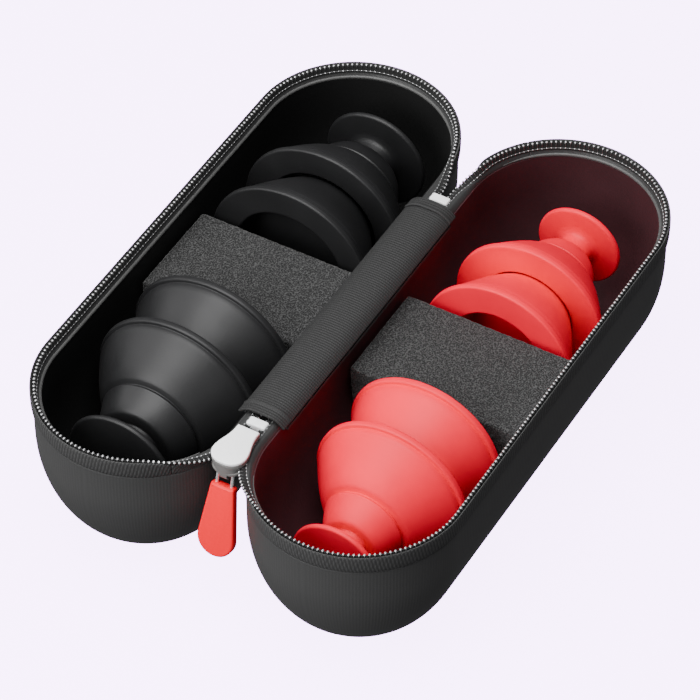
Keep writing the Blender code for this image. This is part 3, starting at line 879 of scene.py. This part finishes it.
SECTIONS = {"facing": facing_section, "core": core_section, "collar": collar_section}
TAPE_SPANS = {
    "rim": (TAIL_END, LAP - TAIL_END, 300),
    "front": (FRONT_START, TAIL_END, 44),
    "rear": (LAP - TAIL_END, LAP - REAR_START, 52),
}
TAPE_WALL = {"facing": 0.010, "core": 0.004, "collar": 0.012}


def tape_sheet(name, side, part, span, material):
    """One layer of the tape along a stretch of the rim or of the way to the hinge."""
    start, end, columns = TAPE_SPANS[span]
    section_of = SECTIONS[part]
    rows = len(section_of(start)) - 1

    def place(u, v):
        along = mix(start, end, u)
        point = section_of(along)[round(v * rows)]
        return around(side, along, point.x, point.y)

    bm = mapped_sheet(columns, rows, place, ((end - start) * RIM, 0.17 * RIM))
    bmesh.ops.recalc_face_normals(bm, faces=bm.faces)
    probe = Vector(around(side, mix(start, end, 0.5), 1.0, -0.12))
    if part == "core":
        probe = Vector(around(side, mix(start, end, 0.5), zip_line(mix(start, end, 0.5))[0], -0.2))
    faces_away(bm, probe)
    sheet = finish_mesh(name, bm, material, smooth_angle=75.0, recalc=False)
    thicken(sheet, TAPE_WALL[part] * RIM)
    subdivide(sheet, 1)
    return sheet


BEND_Y = 2.2
BEND_X = (0.40, 0.12)  # the tails bend between these distances from the middle


def dress_span(piece, word, side, span, slot, *nodes):
    """Rim pieces ride on their half and stand for its nodes. The others bend towards the hinge."""
    if span == "rim":
        dress(piece, HALF_BODIES[word], slot, *nodes)
        return
    end_y = (-BEND_Y if span == "front" else BEND_Y) * RIM
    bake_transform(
        piece,
        HALF_BODIES[word],
        SPINE,
        start=(side * BEND_X[0] * RIM, end_y, RIM_Z),
        end=(side * BEND_X[1] * RIM, end_y, RIM_Z),
    )


class CASE_OT_zip_tape(bpy.types.Operator):
    """Build both zip tapes: smooth inside, woven outside, running in to the slider and the stop."""

    bl_idname = "ear_plug_case.zip_tape"
    bl_label = "Zip Tape"

    def execute(self, context):
        rib = sizes().collar_rib
        layers = {
            "facing": tape_material("zip_facing", paint("tape"), 0.5),
            "core": tape_material("zip_core", paint("core"), 0.8),
            "collar": weave_material(
                "zip_collar", paint("collar"), rib, rib, math.radians(35), 0.12 * rib, 0.30, 0.7
            ),
        }
        for word, side in SIDES.items():
            for span in TAPE_SPANS:
                for part, material in layers.items():
                    sheet = tape_sheet(f"{word}_{span}_{part}", side, part, span, material)
                    dress_span(sheet, word, side, span, "zip_tape", f"{word}_zip_tape")
        return {"FINISHED"}


def tooth_mesh():
    """One tooth, its path along X, its outer side along Y and its head up Z."""
    bm = bmesh.new()
    for low, high, bevel, slot in TOOTH_PARTS:
        part = block([value * RIM for value in low], [value * RIM for value in high], bevel * RIM, 1)
        for face in part.faces:
            face.material_index = slot
        take_in(bm, part)
    mesh = bpy.data.meshes.new("tooth")
    bm.to_mesh(mesh)
    bm.free()
    return mesh


# Head, arms and feet of a tooth: low corner, high corner, bevel in radii, and material slot. Slot 1, the
# arms and the outer feet, takes a darker copy of the tooth metal as painted shade
TOOTH_PARTS = (
    ((-0.0100, -0.0120, -0.004), (0.0100, 0.0120, 0.012), 0.005, 0),
    ((-0.0050, -0.0180, -0.052), (0.0050, -0.0110, 0.002), 0.002, 1),
    ((-0.0050, 0.0110, -0.044), (0.0050, 0.0180, 0.002), 0.002, 1),
    ((-0.0075, -0.0270, -0.064), (0.0075, -0.0170, -0.053), 0.003, 0),
    ((-0.0080, 0.0150, -0.048), (0.0080, 0.0220, -0.040), 0.003, 1),
)
CORD_OFFSETS = {"inner": (-0.021, -0.060), "outer": (0.019, -0.046)}
CORD_RADIUS = 0.005
CORD_STEP = 0.03
OUTER_CORD_START = 2.42  # just past the slider's nose


def cord_points(side, start, end, out, up):
    steps = max(int((end - start) / CORD_STEP), 2)
    points = []
    for step in range(steps + 1):
        along = mix(start, end, step / steps)
        points.append(around(side, along, *chain_point(along, out, up)))
    return points


GLANCE = 0.01  # how far ahead the direction of the zip is read


def chain_frame(side, along):
    """Axes and place of a tooth: along the zip, to its outer side, and to its head."""
    radius, height, lean = zip_line(along)
    place = around(side, along, radius, height)
    ahead = around(side, along + GLANCE, *zip_line(along + GLANCE)[:2])
    tangent = (ahead - place).normalized()
    outward = (around(side, along, radius + 0.1, height) - place).normalized()
    up = Vector((0.0, 0.0, 1.0))
    head = up * math.cos(lean) + outward * math.sin(lean)
    head = (head - tangent * head.dot(tangent)).normalized()
    wide = head.cross(tangent) * (-side)
    if wide.dot(outward * math.cos(lean) - up * math.sin(lean)) < 0:
        wide.negate()
    turn = Matrix((wide.cross(head), wide, head)).transposed().to_4x4()
    return Matrix.Translation(place) @ turn


PACING_STEPS = 4000  # fine steps along the zip, by which the teeth are paced out


def chain_places(side):
    """Where the teeth are, by equal steps along the zip, from its front end to its rear end."""
    steps = PACING_STEPS
    low = FRONT_START
    high = LAP - REAR_START
    places = []
    travelled = 0.0
    wanted = 0.0
    last = around(side, low, *zip_line(low)[:2])
    for step in range(1, steps + 1):
        along = mix(low, high, step / steps)
        here = around(side, along, *zip_line(along)[:2])
        travelled += (here - last).length
        if travelled >= wanted:
            places.append(along)
            wanted += sizes().tooth_pitch
        last = here
    return places


class CASE_OT_zip_teeth(bpy.types.Operator):
    """Build the metal teeth along both zip tapes."""

    bl_idname = "ear_plug_case.zip_teeth"
    bl_label = "Zip Teeth"

    def execute(self, context):
        metal = metal_material("tooth_metal", paint("teeth"), 0.32, 0.85)
        # A darker copy of the tooth metal: painted shade on the arms
        dark = metal_material("tooth_shank", paint("shank"), 0.45, 0.85)
        thread = grained_material(
            "tooth_thread", paint("thread"), 0.6, (70 / RIM, 2.0), (0.6, 1.4), (0.002 * RIM, 0.6)
        )
        tooth = tooth_mesh()
        for word, side in SIDES.items():
            places = chain_places(side)
            for span, (start, end, _) in TAPE_SPANS.items():
                bm = bmesh.new()
                for along in places:
                    if start <= along < end:
                        stamp(bm, tooth, chain_frame(side, along))
                bmesh.ops.recalc_face_normals(bm, faces=bm.faces)
                teeth = finish_mesh(f"{word}_{span}_teeth", bm, metal, dark, recalc=False)
                dress_span(teeth, word, side, span, "zip_teeth", f"{word}_zip_chain")
                for edge, (out, up) in CORD_OFFSETS.items():
                    nose = edge == "outer" and span == "front"
                    points = cord_points(side, OUTER_CORD_START if nose else start, end, out, up)
                    cord = tube(f"{word}_{span}_{edge}_cord", points, CORD_RADIUS * RIM, thread, None, 2)
                    dress_span(cord, word, side, span, "zip_teeth")
        bpy.data.meshes.remove(tooth)
        return {"FINISHED"}


# ---------------------------------------------------------------- hinge


BAND_WRAP = 0.92  # share of a quarter turn that each side of the band rolls through
BAND_DRAPE = (1.0, -0.030, -0.118, 0.028)  # widening, crown, edge and thickness
HEM_DRAPE = (1.01, -0.028, -0.122, 0.030)
HEM_LAP = 0.045


def band_height(across, crown, edge):
    """Height over the band's width, where across runs from -1 to 1: flat, then rolling down."""
    return crown - (crown - edge) * abs(across) ** 3.2


def hem_lift(share):
    """Height of a folded hem over its length: a raised fold, then flat to the cut edge."""
    return 0.016 * math.exp(-(((share - 0.10) / 0.09) ** 2)) + 0.010 * ease(0.0, 0.12, share)


def strap_sheet(name, ends, columns, drape, material, lift=None):
    """A strip over the hinge, rolled down at its sides. lift gives its height over its length."""
    widening, crown, edge, thickness = drape
    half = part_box("hinge_band")[1].x / RIM * widening
    quarter = math.pi / 2 * BAND_WRAP

    def place(u, v):
        x = half * math.sin((2 * v - 1) * quarter) / math.sin(quarter)
        z = band_height(x / half, crown, edge) + (lift(u) if lift else 0.0)
        return Vector((x * RIM, mix(*ends, u) * RIM, RIM_Z + z * RIM))

    bm = mapped_sheet(columns, 24, place, (abs(ends[1] - ends[0]) * RIM, 2.2 * half * RIM))
    bmesh.ops.recalc_face_normals(bm, faces=bm.faces)
    if bm.faces[:][0].normal.z < 0:
        bmesh.ops.reverse_faces(bm, faces=bm.faces)
    sheet = finish_mesh(name, bm, material, recalc=False)
    thicken(sheet, thickness * RIM)
    return sheet


class CASE_OT_hinge_band(bpy.types.Operator):
    """Build the woven band over the hinge, with a folded hem at each end."""

    bl_idname = "ear_plug_case.hinge_band"
    bl_label = "Hinge Band"

    def execute(self, context):
        rib = sizes().band_rib
        cloth = weave_material(
            "band_cloth", paint("band"), rib, 0.75 * rib, 0.0, 0.14 * rib, 0.28, 0.68
        )
        low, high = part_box("hinge_band")
        front = low.y / RIM
        rear = high.y / RIM
        band = strap_sheet("hinge_band_cloth", (front - 0.02, rear + 0.02), 60, BAND_DRAPE, cloth)
        dress(band, SPINE, "band_fabric", "hinge_band")
        hems = {
            "front": (front + HEM_LAP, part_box("hinge_band_front_hem")[0].y / RIM),
            "rear": (rear - HEM_LAP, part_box("hinge_band_rear_hem")[1].y / RIM),
        }
        for word, ends in hems.items():
            hem = strap_sheet(f"hinge_band_{word}_fold", ends, 18, HEM_DRAPE, cloth, hem_lift)
            dress(hem, SPINE, "band_fabric", f"hinge_band_{word}_hem")
        for node in ("left_hinge_flap", "right_hinge_flap", "hinge_core"):
            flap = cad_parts[node]
            flap.data.materials.clear()
            cloth = tape_material(f"{node}_cloth", paint("tape"), 0.7, "Object")
            flap.data.materials.append(cloth)
        return {"FINISHED"}


# ---------------------------------------------------------------- foam


FOAM_VOXEL = 0.016
PIT_DEPTH = 0.010


class CASE_OT_foam_pads(bpy.types.Operator):
    """Build the open-cell foam blocks between the plugs."""

    bl_idname = "ear_plug_case.foam_pads"
    bl_label = "Foam Blocks"

    def execute(self, context):
        material = foam_material(paint("foam"), sizes().foam_cell)
        for word in SIDES:
            node = f"{word}_foam_block"
            bm = bmesh.new()
            bm.from_mesh(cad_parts[node].data)
            pad = finish_mesh(f"{word}_foam_pad", bm, material)
            remesh = pad.modifiers.new("Cells", "REMESH")
            remesh.mode = "VOXEL"
            remesh.voxel_size = FOAM_VOXEL * RIM
            bake(pad)
            roughen(pad, PIT_DEPTH * RIM, 1.4 * sizes().foam_cell)
            pad.data.shade_smooth()
            dress(pad, HALF_BODIES[word], "foam", node)
        return {"FINISHED"}


def bake(obj):
    """Applies the modifiers."""
    bpy.context.view_layer.update()
    graph = bpy.context.evaluated_depsgraph_get()
    mesh = bpy.data.meshes.new_from_object(obj.evaluated_get(graph))
    old = obj.data
    obj.modifiers.clear()
    obj.data = mesh
    bpy.data.meshes.remove(old)


def roughen(obj, depth, size):
    """Pits a surface inwards by a fixed noise."""
    bm = bmesh.new()
    bm.from_mesh(obj.data)
    for vert in bm.verts:
        pit = noise.noise(vert.co / size) + 0.5 * noise.noise(vert.co / (0.45 * size))
        vert.co -= vert.normal * depth * (0.6 + 0.6 * pit)
    bm.to_mesh(obj.data)
    bm.free()


# ---------------------------------------------------------------- ear plugs

RED_PLUG = {
    "disc": 0.440, "neck": 0.160, "shoulder": 0.250, "dome": 0.400, "rim": 0.785, "hollow": 0.475,
}
BLACK_PLUG = {
    "disc": 0.550, "neck": 0.240, "shoulder": 0.370, "dome": 0.515, "rim": 0.875, "hollow": 0.590,
}
MIDDLE_RIM = 1.100
LAST_RIM = 1.735
NECK_END = 0.280
DOME_END = 0.560
LIP = 0.070


def bowl_points(start_radius, start, end_radius, end, steps, fullness):
    """A cone that bulges a little, from its wide end to its narrow end."""
    points = []
    for step in range(steps + 1):
        along = (1 - step / steps) ** 1.3
        radius = start_radius + (end_radius - start_radius) * along**fullness
        points.append((radius, start + (end - start) * along, 0.0))
    return points


def flange_points(size, plane, start, start_radius):
    """One flange: its rounded lip, the groove under it and the bowl behind."""
    rim = size["rim"]
    wall = rim - 0.036
    lip = [
        (rim, plane, 0.022),
        (rim, plane - LIP, 0.024),
        (wall - 0.004, plane - LIP - 0.002, 0.008),
    ]
    return [*lip, *bowl_points(start_radius, start, wall, plane - LIP - 0.040, 18, 0.78)]


def plug_points(size):
    """Profile of a plug as (radius, length along the axis, corner), from the inner end."""
    hollow = size["hollow"]
    stem = 0.78 * hollow
    dome = size["dome"]
    deep = 0.220
    return [
        (0.0, LAST_RIM - deep, 0.0),
        (0.85 * hollow, LAST_RIM - deep, 0.05),
        (hollow, LAST_RIM, 0.020),
        *flange_points(size, LAST_RIM, MIDDLE_RIM - 0.5 * deep, stem),
        (stem, MIDDLE_RIM - deep, 0.05),
        (hollow, MIDDLE_RIM - deep, 0.05),
        (hollow, MIDDLE_RIM, 0.020),
        *flange_points(size, MIDDLE_RIM, DOME_END + 0.012, dome + 0.030),
        (dome - 0.020, DOME_END, 0.012),
        *bowl_points(size["shoulder"], NECK_END, dome, DOME_END - 0.035, 14, 0.62),
        (size["neck"] + 0.012, NECK_END + 0.010, 0.012),
        (size["neck"], NECK_END - 0.030, 0.03),
        (size["neck"], 0.160, 0.0),
        (size["neck"] + 0.012, 0.085, 0.03),
        (size["neck"] + 0.070, 0.062, 0.03),
        (size["disc"], 0.058, 0.028),
        (size["disc"], 0.0, 0.026),
        (0.0, 0.0, 0.0),
    ]


class CASE_OT_ear_plugs(bpy.types.Operator):
    """Build the two red and the two black flanged plugs."""

    bl_idname = "ear_plug_case.ear_plugs"
    bl_label = "Ear Plugs"

    def execute(self, context):
        looks = {
            "red": (RED_PLUG, 1, silicone_material("red_silicone", paint("red"), 0.50, 0.03, 0.22)),
            "black": (
                BLACK_PLUG,
                -1,
                silicone_material("black_silicone", paint("black"), 0.46, 0.0, 0.33),
            ),
        }
        for word, (size, side, material) in looks.items():
            for place, end in (("front", -1), ("rear", 1)):
                node = f"{word}_plug_{place}"
                low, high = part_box(node)
                disc_y = low.y if end < 0 else high.y
                centre_z = (low.z + high.z) / 2
                profile = fillet(plug_points(size), 5)
                bm = profile_edges(
                    profile,
                    lambda p, y=disc_y, e=end, z=centre_z, s=side: Vector(
                        (s * SIDE_X, y - e * p.y * RIM, z + p.x * RIM)
                    ),
                )
                bmesh.ops.spin(
                    bm,
                    geom=[*bm.verts, *bm.edges],
                    cent=(side * SIDE_X, 0.0, centre_z),
                    axis=(0.0, 1.0, 0.0),
                    angle=2 * math.pi,
                    steps=sizes().plug_steps,
                    use_merge=True,
                )
                plug = finish_mesh(f"{node}_moulded", bm, material, smooth_angle=50.0)
                dress(plug, node, f"{word}_silicone", node)
        return {"FINISHED"}


# ---------------------------------------------------------------- slider, stops and pull


NOSE_WIDEST = 0.70  # share of the slider's length where it is widest
WAIST_SHARE = 0.66  # its width at the hinge, as a share of its widest
WAIST_END = 0.12  # share of its length before it starts to flare
NOSE_FULLNESS = 0.80
BODY_DROPS = (0.190, 0.155, 0.105)  # the body's underside, and the floor and roof of its zip slot
LUG_RING = (0.030, 0.055, 0.038)  # bore, outside and half width
WIRE_HALF = 0.077
WIRE_CORNER = 0.022
WIRE_RADIUS = 0.017
WIRE_GRIP = 0.05  # length of wire held in the tab


def slider_outline(scale=1.0, start=0.0, steps=18):
    """Straight at the hinge, flaring to a round nose. Starts start radii before its rear edge."""
    low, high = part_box("slider_cap")
    rear = high.y / RIM
    length = (high.y - low.y) / RIM
    wide = high.x / RIM * scale
    narrow = WAIST_SHARE * wide
    wide_y = -NOSE_WIDEST * length
    right = [(narrow, -start)] if start == 0 else []
    for step in range(steps + 1):
        share = step / steps
        y = mix(-WAIST_END * length, wide_y, share)
        if y < -start - 0.01:
            right.append((mix(narrow, wide, ease(0.0, 1.0, share)), y))
    for step in range(1, steps + 1):
        turn = math.pi / 2 * step / steps
        right.append((wide * math.cos(turn) ** NOSE_FULLNESS, wide_y - (length + wide_y) * math.sin(turn)))
    left = [(-x, y) for x, y in reversed(right[:-1])]
    return [(x * RIM, (y + rear) * RIM) for x, y in [*right, *left]]


def lug_ring(centre, inner, outer, half_width):
    """A ring round the wire, its axis along X."""
    profile = [(half_width, inner), (half_width, outer), (-half_width, outer), (-half_width, inner)]
    bm = bmesh.new()
    verts = [bm.verts.new((x, centre.y, centre.z + radius)) for x, radius in profile]
    edges = [bm.edges.new((verts[index - 1], verts[index])) for index in range(4)]
    bmesh.ops.spin(
        bm,
        geom=[*verts, *edges],
        cent=centre,
        axis=(1.0, 0.0, 0.0),
        angle=2 * math.pi,
        steps=40,
        use_merge=True,
    )
    return bm


def merged(name, parts, material, smooth_angle=35.0):
    """Several closed shapes in one object."""
    whole = bmesh.new()
    for part in parts:
        bmesh.ops.recalc_face_normals(part, faces=part.faces)
        take_in(whole, part)
    return finish_mesh(name, whole, material, smooth_angle=smooth_angle, recalc=False)


class CASE_OT_slider(bpy.types.Operator):
    """Build the slider: a satin plate over a grey body with its lug."""

    bl_idname = "ear_plug_case.slider"
    bl_label = "Slider"

    def execute(self, context):
        white = metal_material("slider_plate_finish", paint("white_metal"), 0.38, 0.0)
        grey = metal_material("slider_body_finish", paint("grey_metal"), 0.45, 0.3)
        low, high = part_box("slider_cap")
        cap = plate(slider_outline(), low.z, high.z, 0.012 * RIM)
        cap_piece = finish_mesh("slider_plate", cap, white, smooth_angle=35.0)
        dress(cap_piece, "slider", "white_metal", "slider_cap")
        self.make_body(low, grey)
        return {"FINISHED"}

    def make_body(self, cap_low, grey):
        bottom, slot_bottom, slot_top = (RIM_Z - drop * RIM for drop in BODY_DROPS)
        ring = Vector((0.0, *PULL_AXIS))
        parts = [
            plate(slider_outline(0.97), bottom, slot_bottom, 0.008 * RIM, 2),
            plate(slider_outline(0.97), slot_top, cap_low.z - 0.001 * RIM, 0.006 * RIM, 2),
            plate(slider_outline(0.86, 0.35), bottom + 0.002 * RIM, cap_low.z - 0.004 * RIM, 0.008 * RIM, 2),
            lug_ring(ring, *(size * RIM for size in LUG_RING)),
        ]
        body = merged("slider_body_cast", parts, grey)
        dress(body, "slider", "grey_metal", "slider_body")


STOP_EDGE = 0.015


class CASE_OT_stops(bpy.types.Operator):
    """Build the clips that hold the two zip tapes together at the ends of the hinge."""

    bl_idname = "ear_plug_case.stops"
    bl_label = "Zip Stops"

    def execute(self, context):
        white = metal_material("stop_finish", paint("white_metal"), 0.32, 0.0)
        for node in ("front_stop", "rear_stop"):
            low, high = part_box(node)
            stop = finish_mesh(f"{node}_clip", block(low, high, STOP_EDGE * RIM, 4), white)
            dress(stop, SPINE, "white_metal", node)
        return {"FINISHED"}


def tab_outline(steps=32):
    """Straight across the top, widening to a round end. Y runs down the tab."""
    centre_y = TAB_START + TAB_LENGTH - TAB_ROUND
    right = [(TAB_TOP_HALF, TAB_START)]
    for step in range(steps + 1):
        turn = math.pi * step / steps - 0.12 * math.cos(math.pi * step / steps)
        right.append((TAB_ROUND * math.cos(turn), centre_y + TAB_ROUND * math.sin(turn)))
    right.append((-TAB_TOP_HALF, TAB_START))
    return [(x * RIM, -y * RIM) for x, y in fillet_closed(right)]


def fillet_closed(points):
    """Rounds the two top corners of the tab a little."""
    first = points[0]
    last = points[-1]
    soft = 0.012
    return [
        (first[0] - soft, first[1]),
        (first[0], first[1] + soft),
        *points[1:-1],
        (last[0], last[1] + soft),
        (last[0] + soft, last[1]),
    ]


class CASE_OT_pull(bpy.types.Operator):
    """Build the moulded pull tab on its wire."""

    bl_idname = "ear_plug_case.pull"
    bl_label = "Pull"

    def execute(self, context):
        home = Matrix.Translation((0.0, *PULL_AXIS)) @ Matrix.Rotation(-TAB_LEAN, 4, "X")
        self.make_tab(home @ Matrix.Rotation(math.pi / 2, 4, "X"))
        self.make_wire(home)
        return {"FINISHED"}

    def make_tab(self, home):
        rubber = grained_material(
            "pull_rubber",
            paint("pull"),
            0.45,
            (40 / RIM, 3.0),
            (0.95, 1.05),
            (0.003 * RIM, 0.4),
            Specular_IOR_Level=0.25,
        )
        half = TAB_THICKNESS / 2 * RIM
        bm = plate(tab_outline(), -half, half, 0.026 * RIM, 4)
        bmesh.ops.transform(bm, matrix=home, verts=bm.verts)
        bmesh.ops.recalc_face_normals(bm, faces=bm.faces)
        tab = finish_mesh("pull_tab_moulded", bm, rubber, smooth_angle=30.0)
        dress(tab, "pull", "red_rubber", "pull_tab")

    def make_wire(self, home):
        wire = metal_material("pull_wire", paint("white_metal"), 0.28, 0.8)
        half = WIRE_HALF
        corner = WIRE_CORNER
        leg = TAB_START + WIRE_GRIP
        right = [(half, -leg), (half, -corner), (half - 0.3 * corner, -0.3 * corner), (half - corner, 0.0)]
        route = [*right, *[(-x, z) for x, z in reversed(right)]]
        points = [home @ Vector((x * RIM, 0.0, z * RIM)) for x, z in route]
        bail = tube("pull_wire_loop", points, WIRE_RADIUS * RIM, wire, None, 4)
        dress(bail, "pull", "white_metal", "pull_bail")


# ---------------------------------------------------------------- stage


FLOOR_REACH = 400
FLOOR_GAP = 0.02


class CASE_OT_stage(bpy.types.Operator):
    """Set the floor, the lights and the camera."""

    bl_idname = "ear_plug_case.stage"
    bl_label = "Stage"

    def execute(self, context):
        stage = context.scene.case_stage
        self.make_floor(stage)
        self.make_lights(context, stage)
        self.make_camera(context, stage)
        return {"FINISHED"}

    def make_floor(self, stage):
        bm = bmesh.new()
        bmesh.ops.create_grid(bm, x_segments=8, y_segments=8, size=FLOOR_REACH * RIM)
        bmesh.ops.translate(bm, vec=(0.0, 0.0, -FLOOR_GAP * RIM), verts=bm.verts)
        material, tree, shader = new_material(
            "lit_floor_paper",
            shade(tuple(stage.floor), 0.5),
            0.9,
            Emission_Color=(*stage.floor, 1.0),
            Emission_Strength=stage.floor_glow,
        )
        floor = finish_mesh("studio_floor", bm, material)
        floor.visible_diffuse = False
        floor.visible_glossy = False

    def make_lights(self, context, stage):
        centre = Vector((0.0, 0.0, RIM_Z))
        lights = (
            ("overhead", (-0.06, -0.12, 0.99), 30, 30, stage.key_power),
            ("front", (-0.30, -0.80, 0.52), 34, 28, stage.front_power),
            ("left_side", (-0.85, -0.10, 0.52), 34, 22, stage.side_power),
        )
        for name, direction, distance, size, power in lights:
            data = bpy.data.lights.new(name, "AREA")
            data.shape = "DISK"
            data.size = size * RIM
            data.energy = power
            lamp = bpy.data.objects.new(name, data)
            away = Vector(direction).normalized()
            lamp.location = centre + away * distance * RIM
            lamp.rotation_euler = away.to_track_quat("Z", "Y").to_euler()
            context.scene.collection.objects.link(lamp)
        world = bpy.data.worlds.new("studio")
        world.use_nodes = True
        background = world.node_tree.nodes["Background"]
        background.inputs["Color"].default_value = (0.95, 0.94, 0.97, 1.0)
        background.inputs["Strength"].default_value = stage.world
        context.scene.world = world

    def make_camera(self, context, stage):
        turn = stage.azimuth
        rise = stage.elevation
        right = Vector((math.cos(turn), math.sin(turn), 0.0))
        back = Vector((math.sin(turn) * math.cos(rise), -math.cos(turn) * math.cos(rise), math.sin(rise)))
        up = back.cross(right)
        data = bpy.data.cameras.new("camera")
        data.lens = stage.lens
        camera = bpy.data.objects.new("camera", data)
        aim = Vector((0.0, 0.0, RIM_Z)) + right * stage.aim_right + up * stage.aim_up
        camera.location = aim + back * stage.distance
        camera.rotation_euler = Matrix((right, up, back)).transposed().to_euler()
        context.scene.collection.objects.link(camera)
        context.scene.camera = camera


# ---------------------------------------------------------------- add-on

BUILD_STEPS = (
    CASE_OT_stage,
    CASE_OT_shells,
    CASE_OT_linings,
    CASE_OT_piping,
    CASE_OT_zip_tape,
    CASE_OT_zip_teeth,
    CASE_OT_hinge_band,
    CASE_OT_foam_pads,
    CASE_OT_ear_plugs,
    CASE_OT_slider,
    CASE_OT_stops,
    CASE_OT_pull,
)


class VIEW3D_PT_ear_plug_case(bpy.types.Panel):
    """Lists the building steps."""

    bl_label = "Ear Plug Case"
    bl_idname = "VIEW3D_PT_ear_plug_case"
    bl_space_type = "VIEW_3D"
    bl_region_type = "UI"
    bl_category = "Ear Plugs"

    def draw(self, context):
        layout = self.layout
        for settings in (context.scene.case_sizes, context.scene.case_colours, context.scene.case_stage):
            box = layout.box()
            for key in settings.__annotations__:
                box.prop(settings, key)
        for step in BUILD_STEPS:
            layout.operator(step.bl_idname)


CLASSES = (CaseSizes, CaseColours, StageSettings, *BUILD_STEPS, VIEW3D_PT_ear_plug_case)


def register():
    for cls in CLASSES:
        bpy.utils.register_class(cls)
    bpy.types.Scene.case_sizes = PointerProperty(type=CaseSizes)
    bpy.types.Scene.case_colours = PointerProperty(type=CaseColours)
    bpy.types.Scene.case_stage = PointerProperty(type=StageSettings)


def unregister():
    del bpy.types.Scene.case_stage
    del bpy.types.Scene.case_colours
    del bpy.types.Scene.case_sizes
    for cls in reversed(CLASSES):
        bpy.utils.unregister_class(cls)


def main():
    register()
    for step in BUILD_STEPS:
        group, name = step.bl_idname.split(".")
        getattr(getattr(bpy.ops, group), name)()


if __name__ == "__main__":
    main()
